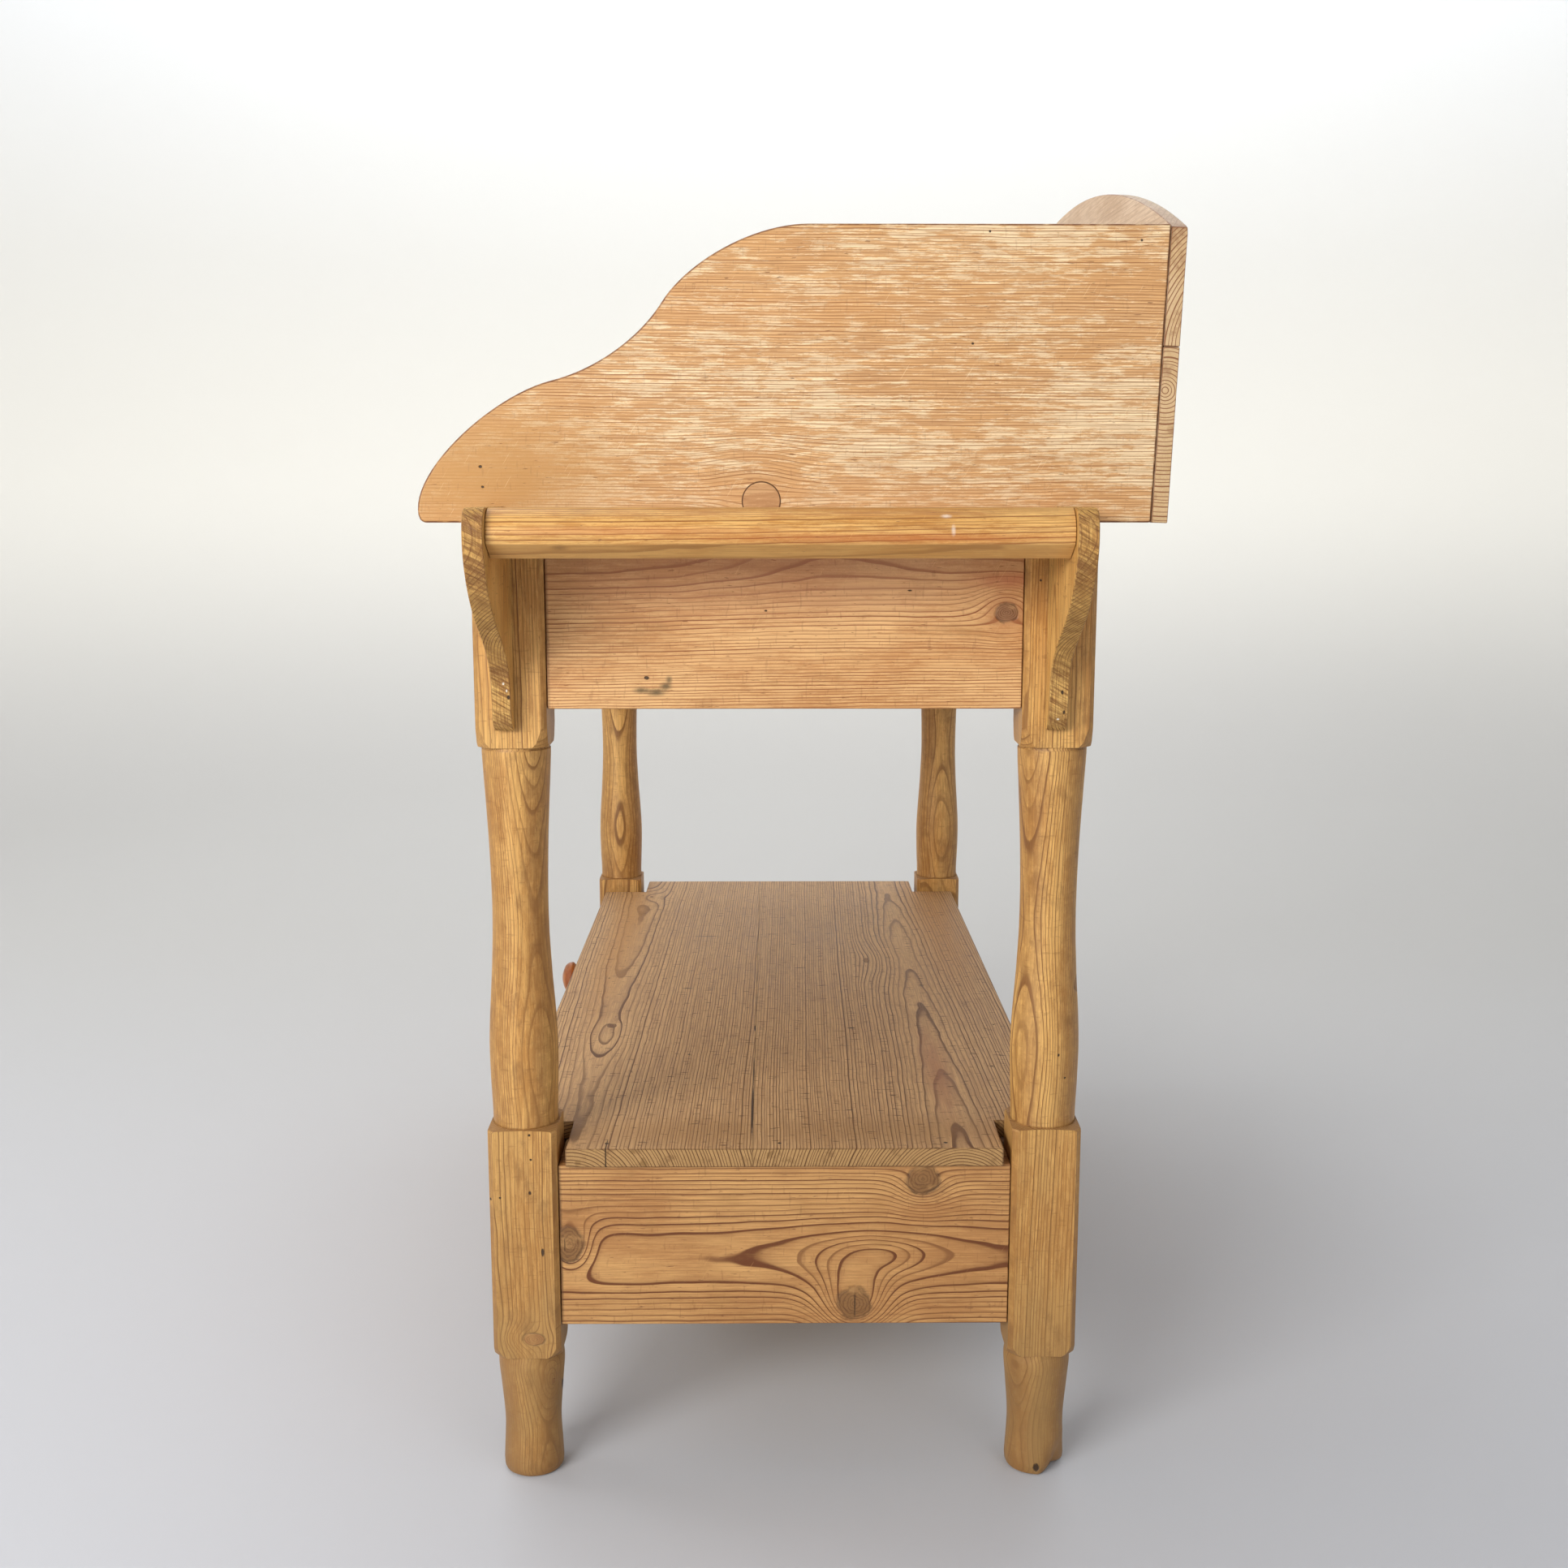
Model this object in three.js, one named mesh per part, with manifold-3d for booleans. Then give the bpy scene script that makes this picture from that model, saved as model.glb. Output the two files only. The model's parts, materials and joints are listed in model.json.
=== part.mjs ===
// A pine potting bench in the manner of an old washstand: four turned legs, a pot shelf with
// one long drawer under it, a worktop with a shaped gallery on three sides, and a towel rail
// at each end. Millimetres, +Z up, +X to the right along the bench, the drawer opens to -Y.
import * as THREE from 'three';
import { mergeVertices } from 'three/addons/utils/BufferGeometryUtils.js';
import Module from 'manifold-3d';

const wasm = await Module();
wasm.setup();

// ---- Driving dimensions ----
const BENCH_LENGTH = 976; // over the legs' outer faces
const BENCH_DEPTH = 482;
const LEG_SIZE = 56; // square of a leg's blocks
const LEG_HEIGHT = 794; // floor to the worktop's underside
const FOOT_TOP = 110;
const LOWER_BLOCK_TOP = 306;
const UPPER_BLOCK_BOTTOM = 620;

const RAIL_BOARD = 20; // thickness of aprons
const UPPER_FRAME_BOTTOM = 650;
const LOWER_FRAME_BOTTOM = 137;
const END_RECESS = 5; // end aprons behind the legs' outer faces
const LONG_RECESS = 12; // long aprons behind the legs' outer faces
const TENON_LENGTH = 24;
const TENON_THICKNESS = 8;
const TENON_SHOULDER = 10;
const TENON_ROOT = 1; // how far a tenon's block reaches back into its apron

const SHELF_BOTTOM = 276;
const SHELF_BOARD = 16;
const SHELF_FRONT = -231.5;
const SHELF_BACK = 229.5;
const SHELF_JOINT = -26.5;
const NOTCH_GAP = 7; // open gap between a shelf notch and its leg

const WORKTOP_BOARD = 20;
const WORKTOP_FRONT = -272.5;
const WORKTOP_OVERHANG = 2; // past the legs at each end

const GALLERY_BOARD = 16; // side panels
const GALLERY_TOP = 1010.5;
const GALLERY_FRONT = -275.5;
const BACK_BOARD = 12;
const BACK_FOOT_Y = 276; // front face of the back board at the worktop's underside
const BACK_LEAN = THREE.MathUtils.degToRad(2);
const BACK_JOINT = 129; // height of the joint between the two back boards
const CREST_HEIGHT = 300; // top of the crest's arch above the worktop's underside

const BRACKET_BOARD = 15;
const BRACKET_FRONT_Y = -217;
const BRACKET_BACK_Y = 210;
const BRACKET_BOTTOM = 635;
const BRACKET_TOP = 806;
const BRACKET_REACH = 124;
const TOWEL_RAIL_RADIUS = 18;
const TOWEL_RAIL_REACH = 100; // axis of the rail from the legs' outer face
const TOWEL_RAIL_Z = 788;

const DRAWER_RAIL_HEIGHT = 35;
const DRAWER_RAIL_DEPTH = 45;
const DRAWER_FRONT_BOARD = 20;
const DRAWER_SIDE_BOARD = 12;
const DRAWER_SIDE_TOP = 256;
const DRAWER_SIDE_END = 190;
const DRAWER_BOTTOM_BOARD = 7;
const DRAWER_BOTTOM_Z = 183.3;
const GROOVE_DEPTH = 5;
const KNOB_FROM_CENTRE = 252;
const KNOB_SPIGOT = 7;

const GAP = 0.3; // clearance where two pieces meet face to face
const CURVE_STEPS = 8; // points on each curved stretch
const TURNING_SIDES = 16; // flats round a turned piece

const END_X = BENCH_LENGTH / 2;
const FRONT_Y = -BENCH_DEPTH / 2;
const BACK_Y = BENCH_DEPTH / 2;
const INNER_X = END_X - LEG_SIZE; // inner faces of the legs
const INNER_Y = BACK_Y - LEG_SIZE;
const LONG_FACE_Y = BACK_Y - LONG_RECESS; // outer face of the long aprons
const DRAWER_RAIL_TOP = LOWER_FRAME_BOTTOM + DRAWER_RAIL_HEIGHT;
const ENDS = [['right', 1], ['left', -1]];
const SIDES = [['front', -1], ['back', 1]];

// ---- Materials ----
const wood = (color, roughness) => new THREE.MeshStandardMaterial({ color, roughness, metalness: 0 });
const LEG_WOOD = () => wood(0xc8955a, 0.45);
const FRAME_WOOD = () => wood(0xd09c63, 0.45);
const GALLERY_WOOD = () => wood(0xdcae72, 0.4);
const SHELF_WOOD = () => wood(0xbd9670, 0.6);
const RAIL_WOOD = () => wood(0xd2a262, 0.4);
const INSIDE_WOOD = () => wood(0xd9bd8f, 0.8);
const KNOB_WOOD = () => wood(0x9a5226, 0.35);

// ---- Helpers ----
const bench = new THREE.Group();

function add(name, geometry, material, parent = bench) {
  const mesh = new THREE.Mesh(geometry, material);
  mesh.name = name;
  parent.add(mesh);
  return mesh;
}

// A board between two planes on each axis.
function board([x0, x1], [y0, y1], [z0, z1]) {
  const geometry = new THREE.BoxGeometry(x1 - x0, y1 - y0, z1 - z0);
  return geometry.translate((x0 + x1) / 2, (y0 + y1) / 2, (z0 + z1) / 2);
}

// The range from a to b in rising order, so that one formula serves both ends.
const span = (a, b) => [Math.min(a, b), Math.max(a, b)];

const grow = ([low, high], by = GAP) => [low - by, high + by];

function toSolid(geometry) {
  const plain = geometry.clone();
  plain.deleteAttribute('normal');
  plain.deleteAttribute('uv');
  const merged = mergeVertices(plain, 1e-4);
  return new wasm.Manifold(new wasm.Mesh({
    numProp: 3,
    vertProperties: new Float32Array(merged.attributes.position.array),
    triVerts: new Uint32Array(merged.index.array),
  }));
}

function toGeometry(solid) {
  const { vertProperties, triVerts } = solid.getMesh();
  const geometry = new THREE.BufferGeometry();
  geometry.setAttribute('position', new THREE.BufferAttribute(vertProperties, 3));
  geometry.setIndex(new THREE.BufferAttribute(triVerts, 1));
  geometry.computeVertexNormals();
  return geometry;
}

function join(base, ...pieces) {
  return toGeometry(pieces.reduce((solid, piece) => solid.add(toSolid(piece)), toSolid(base)));
}

function cut(base, ...tools) {
  return toGeometry(tools.reduce((solid, tool) => solid.subtract(toSolid(tool)), toSolid(base)));
}

// Extrudes an outline drawn in (Y, Z) along +X.
function extrudeAlongX(shape, thickness) {
  const geometry = new THREE.ExtrudeGeometry(shape, {
    depth: thickness, bevelEnabled: false, curveSegments: CURVE_STEPS,
  });
  const axes = new THREE.Matrix4().makeBasis(
    new THREE.Vector3(0, 1, 0), new THREE.Vector3(0, 0, 1), new THREE.Vector3(1, 0, 0),
  );
  return geometry.applyMatrix4(axes);
}

// Extrudes an outline drawn in (X, Z) evenly to both sides of Y = 0.
function extrudeAlongY(shape, thickness) {
  const geometry = new THREE.ExtrudeGeometry(shape, {
    depth: thickness, bevelEnabled: false, curveSegments: CURVE_STEPS,
  });
  const axes = new THREE.Matrix4().makeBasis(
    new THREE.Vector3(1, 0, 0), new THREE.Vector3(0, 0, 1), new THREE.Vector3(0, -1, 0),
  );
  return geometry.applyMatrix4(axes).translate(0, thickness / 2, 0);
}

// Turns a profile of (radius, height) points about +Z.
function turn(points, segments) {
  return new THREE.LatheGeometry(points, segments).rotateX(Math.PI / 2);
}

// ---- Tenons: the same ranges shape the aprons and, grown by the gap, the leg mortises ----
function endTenon(sign, sideSign, [z0, z1]) {
  const middle = END_X - END_RECESS - RAIL_BOARD / 2;
  const x = span(sign * (middle - TENON_THICKNESS / 2), sign * (middle + TENON_THICKNESS / 2));
  const y = span(sideSign * (INNER_Y - TENON_ROOT), sideSign * (INNER_Y + TENON_LENGTH));
  return [x, y, [z0 + TENON_SHOULDER, z1 - TENON_SHOULDER]];
}

function longTenon(sign, sideSign, [z0, z1]) {
  const middle = LONG_FACE_Y - RAIL_BOARD / 2;
  const x = span(sign * (INNER_X - TENON_ROOT), sign * (INNER_X + TENON_LENGTH));
  const y = span(sideSign * (middle - TENON_THICKNESS / 2), sideSign * (middle + TENON_THICKNESS / 2));
  return [x, y, [z0 + TENON_SHOULDER, z1 - TENON_SHOULDER]];
}

const UPPER_Z = [UPPER_FRAME_BOTTOM, LEG_HEIGHT];
const LOWER_Z = [LOWER_FRAME_BOTTOM, SHELF_BOTTOM];
const DRAWER_RAIL_Z = [LOWER_FRAME_BOTTOM, DRAWER_RAIL_TOP];

// The tenons that enter one leg.
function tenonsInLeg(sign, sideSign) {
  const lowerLongZ = sideSign < 0 ? DRAWER_RAIL_Z : LOWER_Z;
  return [
    endTenon(sign, sideSign, UPPER_Z),
    longTenon(sign, sideSign, UPPER_Z),
    endTenon(sign, sideSign, LOWER_Z),
    longTenon(sign, sideSign, lowerLongZ),
  ];
}

// ---- Legs: a square post turned round at the foot and between its two blocks ----
function legProfile() {
  const foot = new THREE.SplineCurve([
    new THREE.Vector2(25.6, 8),
    new THREE.Vector2(23.6, 43),
    new THREE.Vector2(25.8, 75),
    new THREE.Vector2(27.8, 97),
    new THREE.Vector2(27, FOOT_TOP),
  ]);
  const shaft = new THREE.SplineCurve([
    new THREE.Vector2(26.4, 315),
    new THREE.Vector2(27.9, 375),
    new THREE.Vector2(24.1, 440),
    new THREE.Vector2(22.6, 485),
    new THREE.Vector2(23.8, 543),
    new THREE.Vector2(27.3, 612),
  ]);
  const corner = LEG_SIZE * 0.75; // outside the block's corners
  return [
    new THREE.Vector2(0, 0),
    new THREE.Vector2(21, 0),
    new THREE.Vector2(24.6, 3.5),
    ...foot.getPoints(CURVE_STEPS),
    new THREE.Vector2(31, FOOT_TOP),
    new THREE.Vector2(35, FOOT_TOP + 9),
    new THREE.Vector2(corner, FOOT_TOP + 36),
    new THREE.Vector2(corner, LOWER_BLOCK_TOP - 30),
    new THREE.Vector2(37, LOWER_BLOCK_TOP - 10),
    new THREE.Vector2(34, LOWER_BLOCK_TOP),
    new THREE.Vector2(27.9, LOWER_BLOCK_TOP + 1),
    ...shaft.getPoints(Math.round(1.5 * CURVE_STEPS)),
    new THREE.Vector2(27, UPPER_BLOCK_BOTTOM),
    new THREE.Vector2(33, UPPER_BLOCK_BOTTOM),
    new THREE.Vector2(37, UPPER_BLOCK_BOTTOM + 16),
    new THREE.Vector2(corner, UPPER_BLOCK_BOTTOM + 45),
    new THREE.Vector2(corner, LEG_HEIGHT),
    new THREE.Vector2(0, LEG_HEIGHT),
  ];
}

function addLegs() {
  const half = LEG_SIZE / 2;
  const post = toSolid(board([-half, half], [-half, half], [0, LEG_HEIGHT]));
  const turned = toSolid(turn(legProfile(), TURNING_SIDES));
  const blank = toGeometry(post.intersect(turned));
  for (const [end, sign] of ENDS) {
    for (const [side, sideSign] of SIDES) {
      const x = sign * (END_X - half);
      const y = sideSign * (BACK_Y - half);
      const mortises = tenonsInLeg(sign, sideSign).map((ranges) => board(...ranges.map((r) => grow(r))));
      add(`leg_${side}_${end}`, cut(blank.clone().translate(x, y, 0), ...mortises), LEG_WOOD());
    }
  }
}

// ---- Upper and lower frames ----
function endApron(sign, z) {
  const x = span(sign * (END_X - END_RECESS - RAIL_BOARD), sign * (END_X - END_RECESS));
  const tenons = [-1, 1].map((sideSign) => board(...endTenon(sign, sideSign, z)));
  return join(board(x, [-INNER_Y + GAP, INNER_Y - GAP], z), ...tenons);
}

function longApron(sideSign, z, depth = RAIL_BOARD) {
  const y = span(sideSign * (LONG_FACE_Y - depth), sideSign * LONG_FACE_Y);
  const tenons = [-1, 1].map((sign) => board(...longTenon(sign, sideSign, z)));
  return join(board([-INNER_X + GAP, INNER_X - GAP], y, z), ...tenons);
}

function addFrames() {
  for (const [end, sign] of ENDS) {
    add(`upper_apron_${end}`, endApron(sign, UPPER_Z), FRAME_WOOD());
    add(`lower_apron_${end}`, endApron(sign, LOWER_Z), FRAME_WOOD());
  }
  for (const [side, sideSign] of SIDES) {
    add(`upper_apron_${side}`, longApron(sideSign, UPPER_Z), FRAME_WOOD());
  }
  add('lower_apron_back', longApron(1, LOWER_Z), FRAME_WOOD());
  add('drawer_rail', longApron(-1, DRAWER_RAIL_Z, DRAWER_RAIL_DEPTH), FRAME_WOOD());
}

// Glue blocks in the corner between the upper aprons and the worktop.
function addGlueBlocks() {
  const size = 25;
  const halfLength = 45;
  const alongX = 220;
  const z = [LEG_HEIGHT - size, LEG_HEIGHT];
  const innerFaceY = LONG_FACE_Y - RAIL_BOARD;
  const innerFaceX = END_X - END_RECESS - RAIL_BOARD;
  for (const [end, sign] of ENDS) {
    for (const [side, sideSign] of SIDES) {
      const x = span(sign * (alongX - halfLength), sign * (alongX + halfLength));
      const y = span(sideSign * (innerFaceY - size), sideSign * innerFaceY);
      add(`glue_block_${side}_${end}`, board(x, y, z), INSIDE_WOOD());
    }
    const x = span(sign * (innerFaceX - size), sign * innerFaceX);
    add(`glue_block_${end}`, board(x, [-halfLength, halfLength], z), INSIDE_WOOD());
  }
}

// ---- Pot shelf: two boards, notched at the corners to pass the legs ----
function addShelf() {
  const z = [SHELF_BOTTOM, SHELF_BOTTOM + SHELF_BOARD];
  const boards = [
    ['front', -1, [SHELF_FRONT, SHELF_JOINT]],
    ['back', 1, [SHELF_JOINT + GAP, SHELF_BACK]],
  ];
  for (const [side, sideSign, y] of boards) {
    const notches = ENDS.map(([, sign]) => board(
      span(sign * (INNER_X - NOTCH_GAP), sign * (END_X + LEG_SIZE)),
      span(sideSign * (INNER_Y - NOTCH_GAP), sideSign * (BACK_Y + LEG_SIZE)),
      grow(z, SHELF_BOARD),
    ));
    add(`shelf_board_${side}`, cut(board([-END_X, END_X], y, z), ...notches), SHELF_WOOD());
  }
}

// ---- Worktop: three boards between the gallery's side panels ----
function addWorktop() {
  const names = ['front', 'middle', 'back'];
  const back = BACK_FOOT_Y - GAP;
  const width = (back - WORKTOP_FRONT) / names.length;
  const halfLength = END_X + WORKTOP_OVERHANG;
  names.forEach((name, index) => {
    const start = WORKTOP_FRONT + index * width;
    const y = [start, start + width - GAP];
    const z = [LEG_HEIGHT, LEG_HEIGHT + WORKTOP_BOARD];
    add(`worktop_board_${name}`, board([-halfLength, halfLength], y, z), GALLERY_WOOD());
  });
}

// ---- Gallery: an ogee side panel at each end and an arched back of two boards ----
function gallerySideShape() {
  const backFoot = BACK_FOOT_Y - GAP;
  const lean = Math.tan(BACK_LEAN) * (GALLERY_TOP - LEG_HEIGHT);
  const shape = new THREE.Shape();
  shape.moveTo(GALLERY_FRONT + 4, LEG_HEIGHT);
  shape.lineTo(backFoot, LEG_HEIGHT);
  shape.lineTo(backFoot + lean, GALLERY_TOP);
  shape.lineTo(18, GALLERY_TOP);
  shape.bezierCurveTo(-24, GALLERY_TOP, -72.5, 983, -90.7, 955);
  shape.bezierCurveTo(-107.4, 929.5, -139.3, 906.8, -173.3, 898.4);
  shape.bezierCurveTo(-216, 888, GALLERY_FRONT, 836.4, GALLERY_FRONT, 804);
  shape.quadraticCurveTo(GALLERY_FRONT, 797, GALLERY_FRONT + 4, LEG_HEIGHT);
  return shape;
}

function crestShape(halfLength) {
  const cornerRadius = 6;
  const shoulder = GALLERY_TOP - LEG_HEIGHT;
  const chord = halfLength - cornerRadius;
  const rise = CREST_HEIGHT - shoulder;
  const radius = (chord * chord + rise * rise) / (2 * rise);
  const halfAngle = Math.asin(chord / radius);
  const shape = new THREE.Shape();
  shape.moveTo(-halfLength, BACK_JOINT + GAP);
  shape.lineTo(halfLength, BACK_JOINT + GAP);
  shape.lineTo(halfLength, shoulder - cornerRadius);
  shape.quadraticCurveTo(halfLength, shoulder, chord, shoulder);
  shape.absarc(0, CREST_HEIGHT - radius, radius, Math.PI / 2 - halfAngle, Math.PI / 2 + halfAngle);
  shape.quadraticCurveTo(-halfLength, shoulder, -halfLength, shoulder - cornerRadius);
  return shape;
}

function addGallery() {
  const side = extrudeAlongX(gallerySideShape(), GALLERY_BOARD);
  for (const [end, sign] of ENDS) {
    const panel = add(`gallery_side_${end}`, side.clone(), GALLERY_WOOD());
    const inner = END_X + WORKTOP_OVERHANG;
    panel.position.x = sign > 0 ? inner : -inner - GALLERY_BOARD;
  }
  const halfLength = END_X + WORKTOP_OVERHANG + GALLERY_BOARD;
  const back = new THREE.Group();
  back.position.set(0, BACK_FOOT_Y, LEG_HEIGHT);
  back.rotation.x = -BACK_LEAN;
  bench.add(back);
  const lower = board([-halfLength, halfLength], [0, BACK_BOARD], [0, BACK_JOINT]);
  const upper = extrudeAlongY(crestShape(halfLength), BACK_BOARD).translate(0, BACK_BOARD / 2, 0);
  add('gallery_back_lower', lower, GALLERY_WOOD(), back);
  add('gallery_back_crest', upper, GALLERY_WOOD(), back);
}

// ---- Towel rails: two cyma brackets and a round rail at each end ----
// Drawn with X = 0 on the legs' outer face; the top is notched under the gallery's side panel.
function bracketShape() {
  const notchReach = WORKTOP_OVERHANG + GALLERY_BOARD + GAP;
  const notchTop = LEG_HEIGHT - GAP;
  const shape = new THREE.Shape();
  shape.moveTo(GAP, BRACKET_BOTTOM);
  shape.lineTo(8, BRACKET_BOTTOM);
  shape.lineTo(14, BRACKET_BOTTOM + 7);
  shape.lineTo(17, 666);
  shape.bezierCurveTo(19, 690, 45, 704, 70, 718);
  shape.bezierCurveTo(97, 733, BRACKET_REACH, 758, BRACKET_REACH, 785);
  shape.quadraticCurveTo(BRACKET_REACH, BRACKET_TOP, BRACKET_REACH - 14, BRACKET_TOP);
  shape.lineTo(notchReach, BRACKET_TOP);
  shape.lineTo(notchReach, notchTop);
  shape.lineTo(GAP, notchTop);
  return shape;
}

// The rail is round but for a flat planed along its lower front.
function towelRailShape() {
  const shape = new THREE.Shape();
  const flatStart = THREE.MathUtils.degToRad(-25);
  const flatEnd = THREE.MathUtils.degToRad(265);
  shape.absarc(TOWEL_RAIL_REACH, TOWEL_RAIL_Z, TOWEL_RAIL_RADIUS, flatStart, flatEnd);
  return shape;
}

function addTowelRails() {
  const bracket = extrudeAlongY(bracketShape(), BRACKET_BOARD);
  const railLength = BRACKET_BACK_Y - BRACKET_FRONT_Y - BRACKET_BOARD - 2 * GAP;
  const rail = extrudeAlongY(towelRailShape(), railLength);
  for (const [end, sign] of ENDS) {
    const placed = [
      add(`towel_bracket_front_${end}`, bracket.clone(), FRAME_WOOD()),
      add(`towel_bracket_back_${end}`, bracket.clone(), FRAME_WOOD()),
      add(`towel_rail_${end}`, rail.clone(), RAIL_WOOD()),
    ];
    const middle = (BRACKET_FRONT_Y + BRACKET_BACK_Y) / 2;
    [BRACKET_FRONT_Y, BRACKET_BACK_Y, middle].forEach((y, index) => {
      placed[index].position.set(sign * END_X, y, 0);
      placed[index].rotation.z = sign > 0 ? 0 : Math.PI;
    });
  }
}

// ---- Drawer: dovetailed front and sides, a grooved bottom, and two turned knobs ----
const DRAWER_HALF = INNER_X - 1.5;
const DRAWER_FACE_Y = -LONG_FACE_Y;
const DRAWER_FRONT_BACK_Y = DRAWER_FACE_Y + DRAWER_FRONT_BOARD;
const DRAWER_FRONT_Z = [DRAWER_RAIL_TOP + 1, SHELF_BOTTOM - 1.5];
const DRAWER_SIDE_Z = [DRAWER_RAIL_TOP + 0.5, DRAWER_SIDE_TOP];
const KNOB_Z = (DRAWER_FRONT_Z[0] + DRAWER_FRONT_Z[1]) / 2;

// Tails of the drawer side that enter the front, widening towards their tips.
function dovetails(sign, clearance) {
  const count = 3;
  const tailLength = 13;
  const rootHalf = 7 + clearance;
  const tipHalf = 9.5 + clearance;
  const pitch = (DRAWER_SIDE_Z[1] - DRAWER_SIDE_Z[0]) / count;
  const thickness = DRAWER_SIDE_BOARD + 2 * clearance;
  const inner = DRAWER_HALF - DRAWER_SIDE_BOARD - clearance;
  return Array.from({ length: count }, (_, index) => {
    const z = DRAWER_SIDE_Z[0] + (index + 0.5) * pitch;
    const root = DRAWER_FRONT_BACK_Y + 1;
    const tip = DRAWER_FRONT_BACK_Y - tailLength - clearance;
    const tail = new THREE.Shape([
      new THREE.Vector2(root, z - rootHalf),
      new THREE.Vector2(root, z + rootHalf),
      new THREE.Vector2(tip, z + tipHalf),
      new THREE.Vector2(tip, z - tipHalf),
    ]);
    return extrudeAlongX(tail, thickness).translate(sign > 0 ? inner : -inner - thickness, 0, 0);
  });
}

function knobProfile() {
  const boss = new THREE.SplineCurve([
    new THREE.Vector2(11.5, 3),
    new THREE.Vector2(8, 12),
    new THREE.Vector2(13, 22),
    new THREE.Vector2(19, 28),
    new THREE.Vector2(16, 36),
    new THREE.Vector2(7, 40),
  ]);
  return [
    new THREE.Vector2(0, -DRAWER_FRONT_BOARD + 1),
    new THREE.Vector2(KNOB_SPIGOT, -DRAWER_FRONT_BOARD + 1),
    new THREE.Vector2(KNOB_SPIGOT, GAP),
    new THREE.Vector2(11.5, GAP),
    ...boss.getPoints(CURVE_STEPS),
    new THREE.Vector2(0, 41),
  ];
}

function addDrawer() {
  const groove = grow([DRAWER_BOTTOM_Z, DRAWER_BOTTOM_Z + DRAWER_BOTTOM_BOARD]);
  const innerX = DRAWER_HALF - DRAWER_SIDE_BOARD;
  const grooveX = innerX + GROOVE_DEPTH;
  const grooveY = DRAWER_FRONT_BACK_Y - GROOVE_DEPTH;
  const bottomBack = 182;
  const backY = [166, 178];
  const holeRadius = KNOB_SPIGOT + GAP;
  const holes = ENDS.map(([, sign]) => (
    new THREE.CylinderGeometry(holeRadius, holeRadius, 3 * DRAWER_FRONT_BOARD, TURNING_SIDES)
      .translate(sign * KNOB_FROM_CENTRE, DRAWER_FACE_Y, 0)
      .translate(0, 0, KNOB_Z)
  ));
  add('drawer_front', cut(
    board([-DRAWER_HALF, DRAWER_HALF], [DRAWER_FACE_Y, DRAWER_FRONT_BACK_Y], DRAWER_FRONT_Z),
    board([-grooveX, grooveX], [grooveY, DRAWER_FRONT_BACK_Y + 1], groove),
    ...dovetails(1, GAP),
    ...dovetails(-1, GAP),
    ...holes,
  ), FRAME_WOOD());
  for (const [end, sign] of ENDS) {
    const x = span(sign * innerX, sign * DRAWER_HALF);
    const blank = board(x, [DRAWER_FRONT_BACK_Y + GAP, DRAWER_SIDE_END], DRAWER_SIDE_Z);
    const slot = board(span(sign * (innerX - 1), sign * grooveX), [grooveY, DRAWER_SIDE_END + 1], groove);
    const tailed = join(blank, ...dovetails(sign, 0));
    add(`drawer_side_${end}`, cut(tailed, slot), INSIDE_WOOD());
    const knob = add(`drawer_knob_${end}`, turn(knobProfile(), TURNING_SIDES), KNOB_WOOD());
    knob.position.set(sign * KNOB_FROM_CENTRE, DRAWER_FACE_Y, KNOB_Z);
    knob.rotation.x = Math.PI / 2;
  }
  const backZ = [groove[1] + GAP, DRAWER_SIDE_TOP - 6];
  add('drawer_back', board([-innerX + GAP, innerX - GAP], backY, backZ), INSIDE_WOOD());
  add('drawer_bottom', board(
    [-grooveX + GAP, grooveX - GAP],
    [grooveY + GAP, bottomBack],
    [DRAWER_BOTTOM_Z, DRAWER_BOTTOM_Z + DRAWER_BOTTOM_BOARD],
  ), INSIDE_WOOD());
}

// ---- Drawer bearers inside the lower frame ----
function addDrawerBearers() {
  const runnerInner = 401;
  const bearerHeight = 18;
  const guideTop = 195;
  const railBack = DRAWER_FACE_Y + DRAWER_RAIL_DEPTH;
  const apronInnerX = END_X - END_RECESS - RAIL_BOARD;
  const betweenLegs = [-INNER_Y + GAP, INNER_Y - GAP];
  const runnerZ = [DRAWER_RAIL_TOP - bearerHeight, DRAWER_RAIL_TOP];
  const stopX = 300;
  const stopHalf = 15;
  for (const [end, sign] of ENDS) {
    const runnerX = span(sign * runnerInner, sign * (INNER_X - GAP));
    const guideX = span(sign * INNER_X, sign * (apronInnerX - GAP));
    const kickerX = span(sign * runnerInner, sign * (apronInnerX - GAP));
    const runnerY = [railBack + GAP, LONG_FACE_Y - RAIL_BOARD - GAP];
    const kickerZ = [SHELF_BOTTOM - bearerHeight, SHELF_BOTTOM - GAP];
    const stop = span(sign * (stopX - stopHalf), sign * (stopX + stopHalf));
    const stopY = [DRAWER_FRONT_BACK_Y + GAP, railBack - 2];
    const stopZ = [DRAWER_RAIL_TOP, DRAWER_RAIL_TOP + 8];
    add(`drawer_runner_${end}`, board(runnerX, runnerY, runnerZ), INSIDE_WOOD());
    add(`drawer_guide_${end}`, board(guideX, betweenLegs, [runnerZ[0], guideTop]), INSIDE_WOOD());
    add(`drawer_kicker_${end}`, board(kickerX, betweenLegs, kickerZ), INSIDE_WOOD());
    add(`drawer_stop_${end}`, board(stop, stopY, stopZ), INSIDE_WOOD());
  }
}

addLegs();
addFrames();
addGlueBlocks();
addShelf();
addWorktop();
addGallery();
addTowelRails();
addDrawer();
addDrawerBearers();

// The origin is on the floor under the middle of the whole bench.
const extent = new THREE.Box3().setFromObject(bench, true);
bench.position.y = -(extent.min.y + extent.max.y) / 2;

export default bench;
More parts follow.
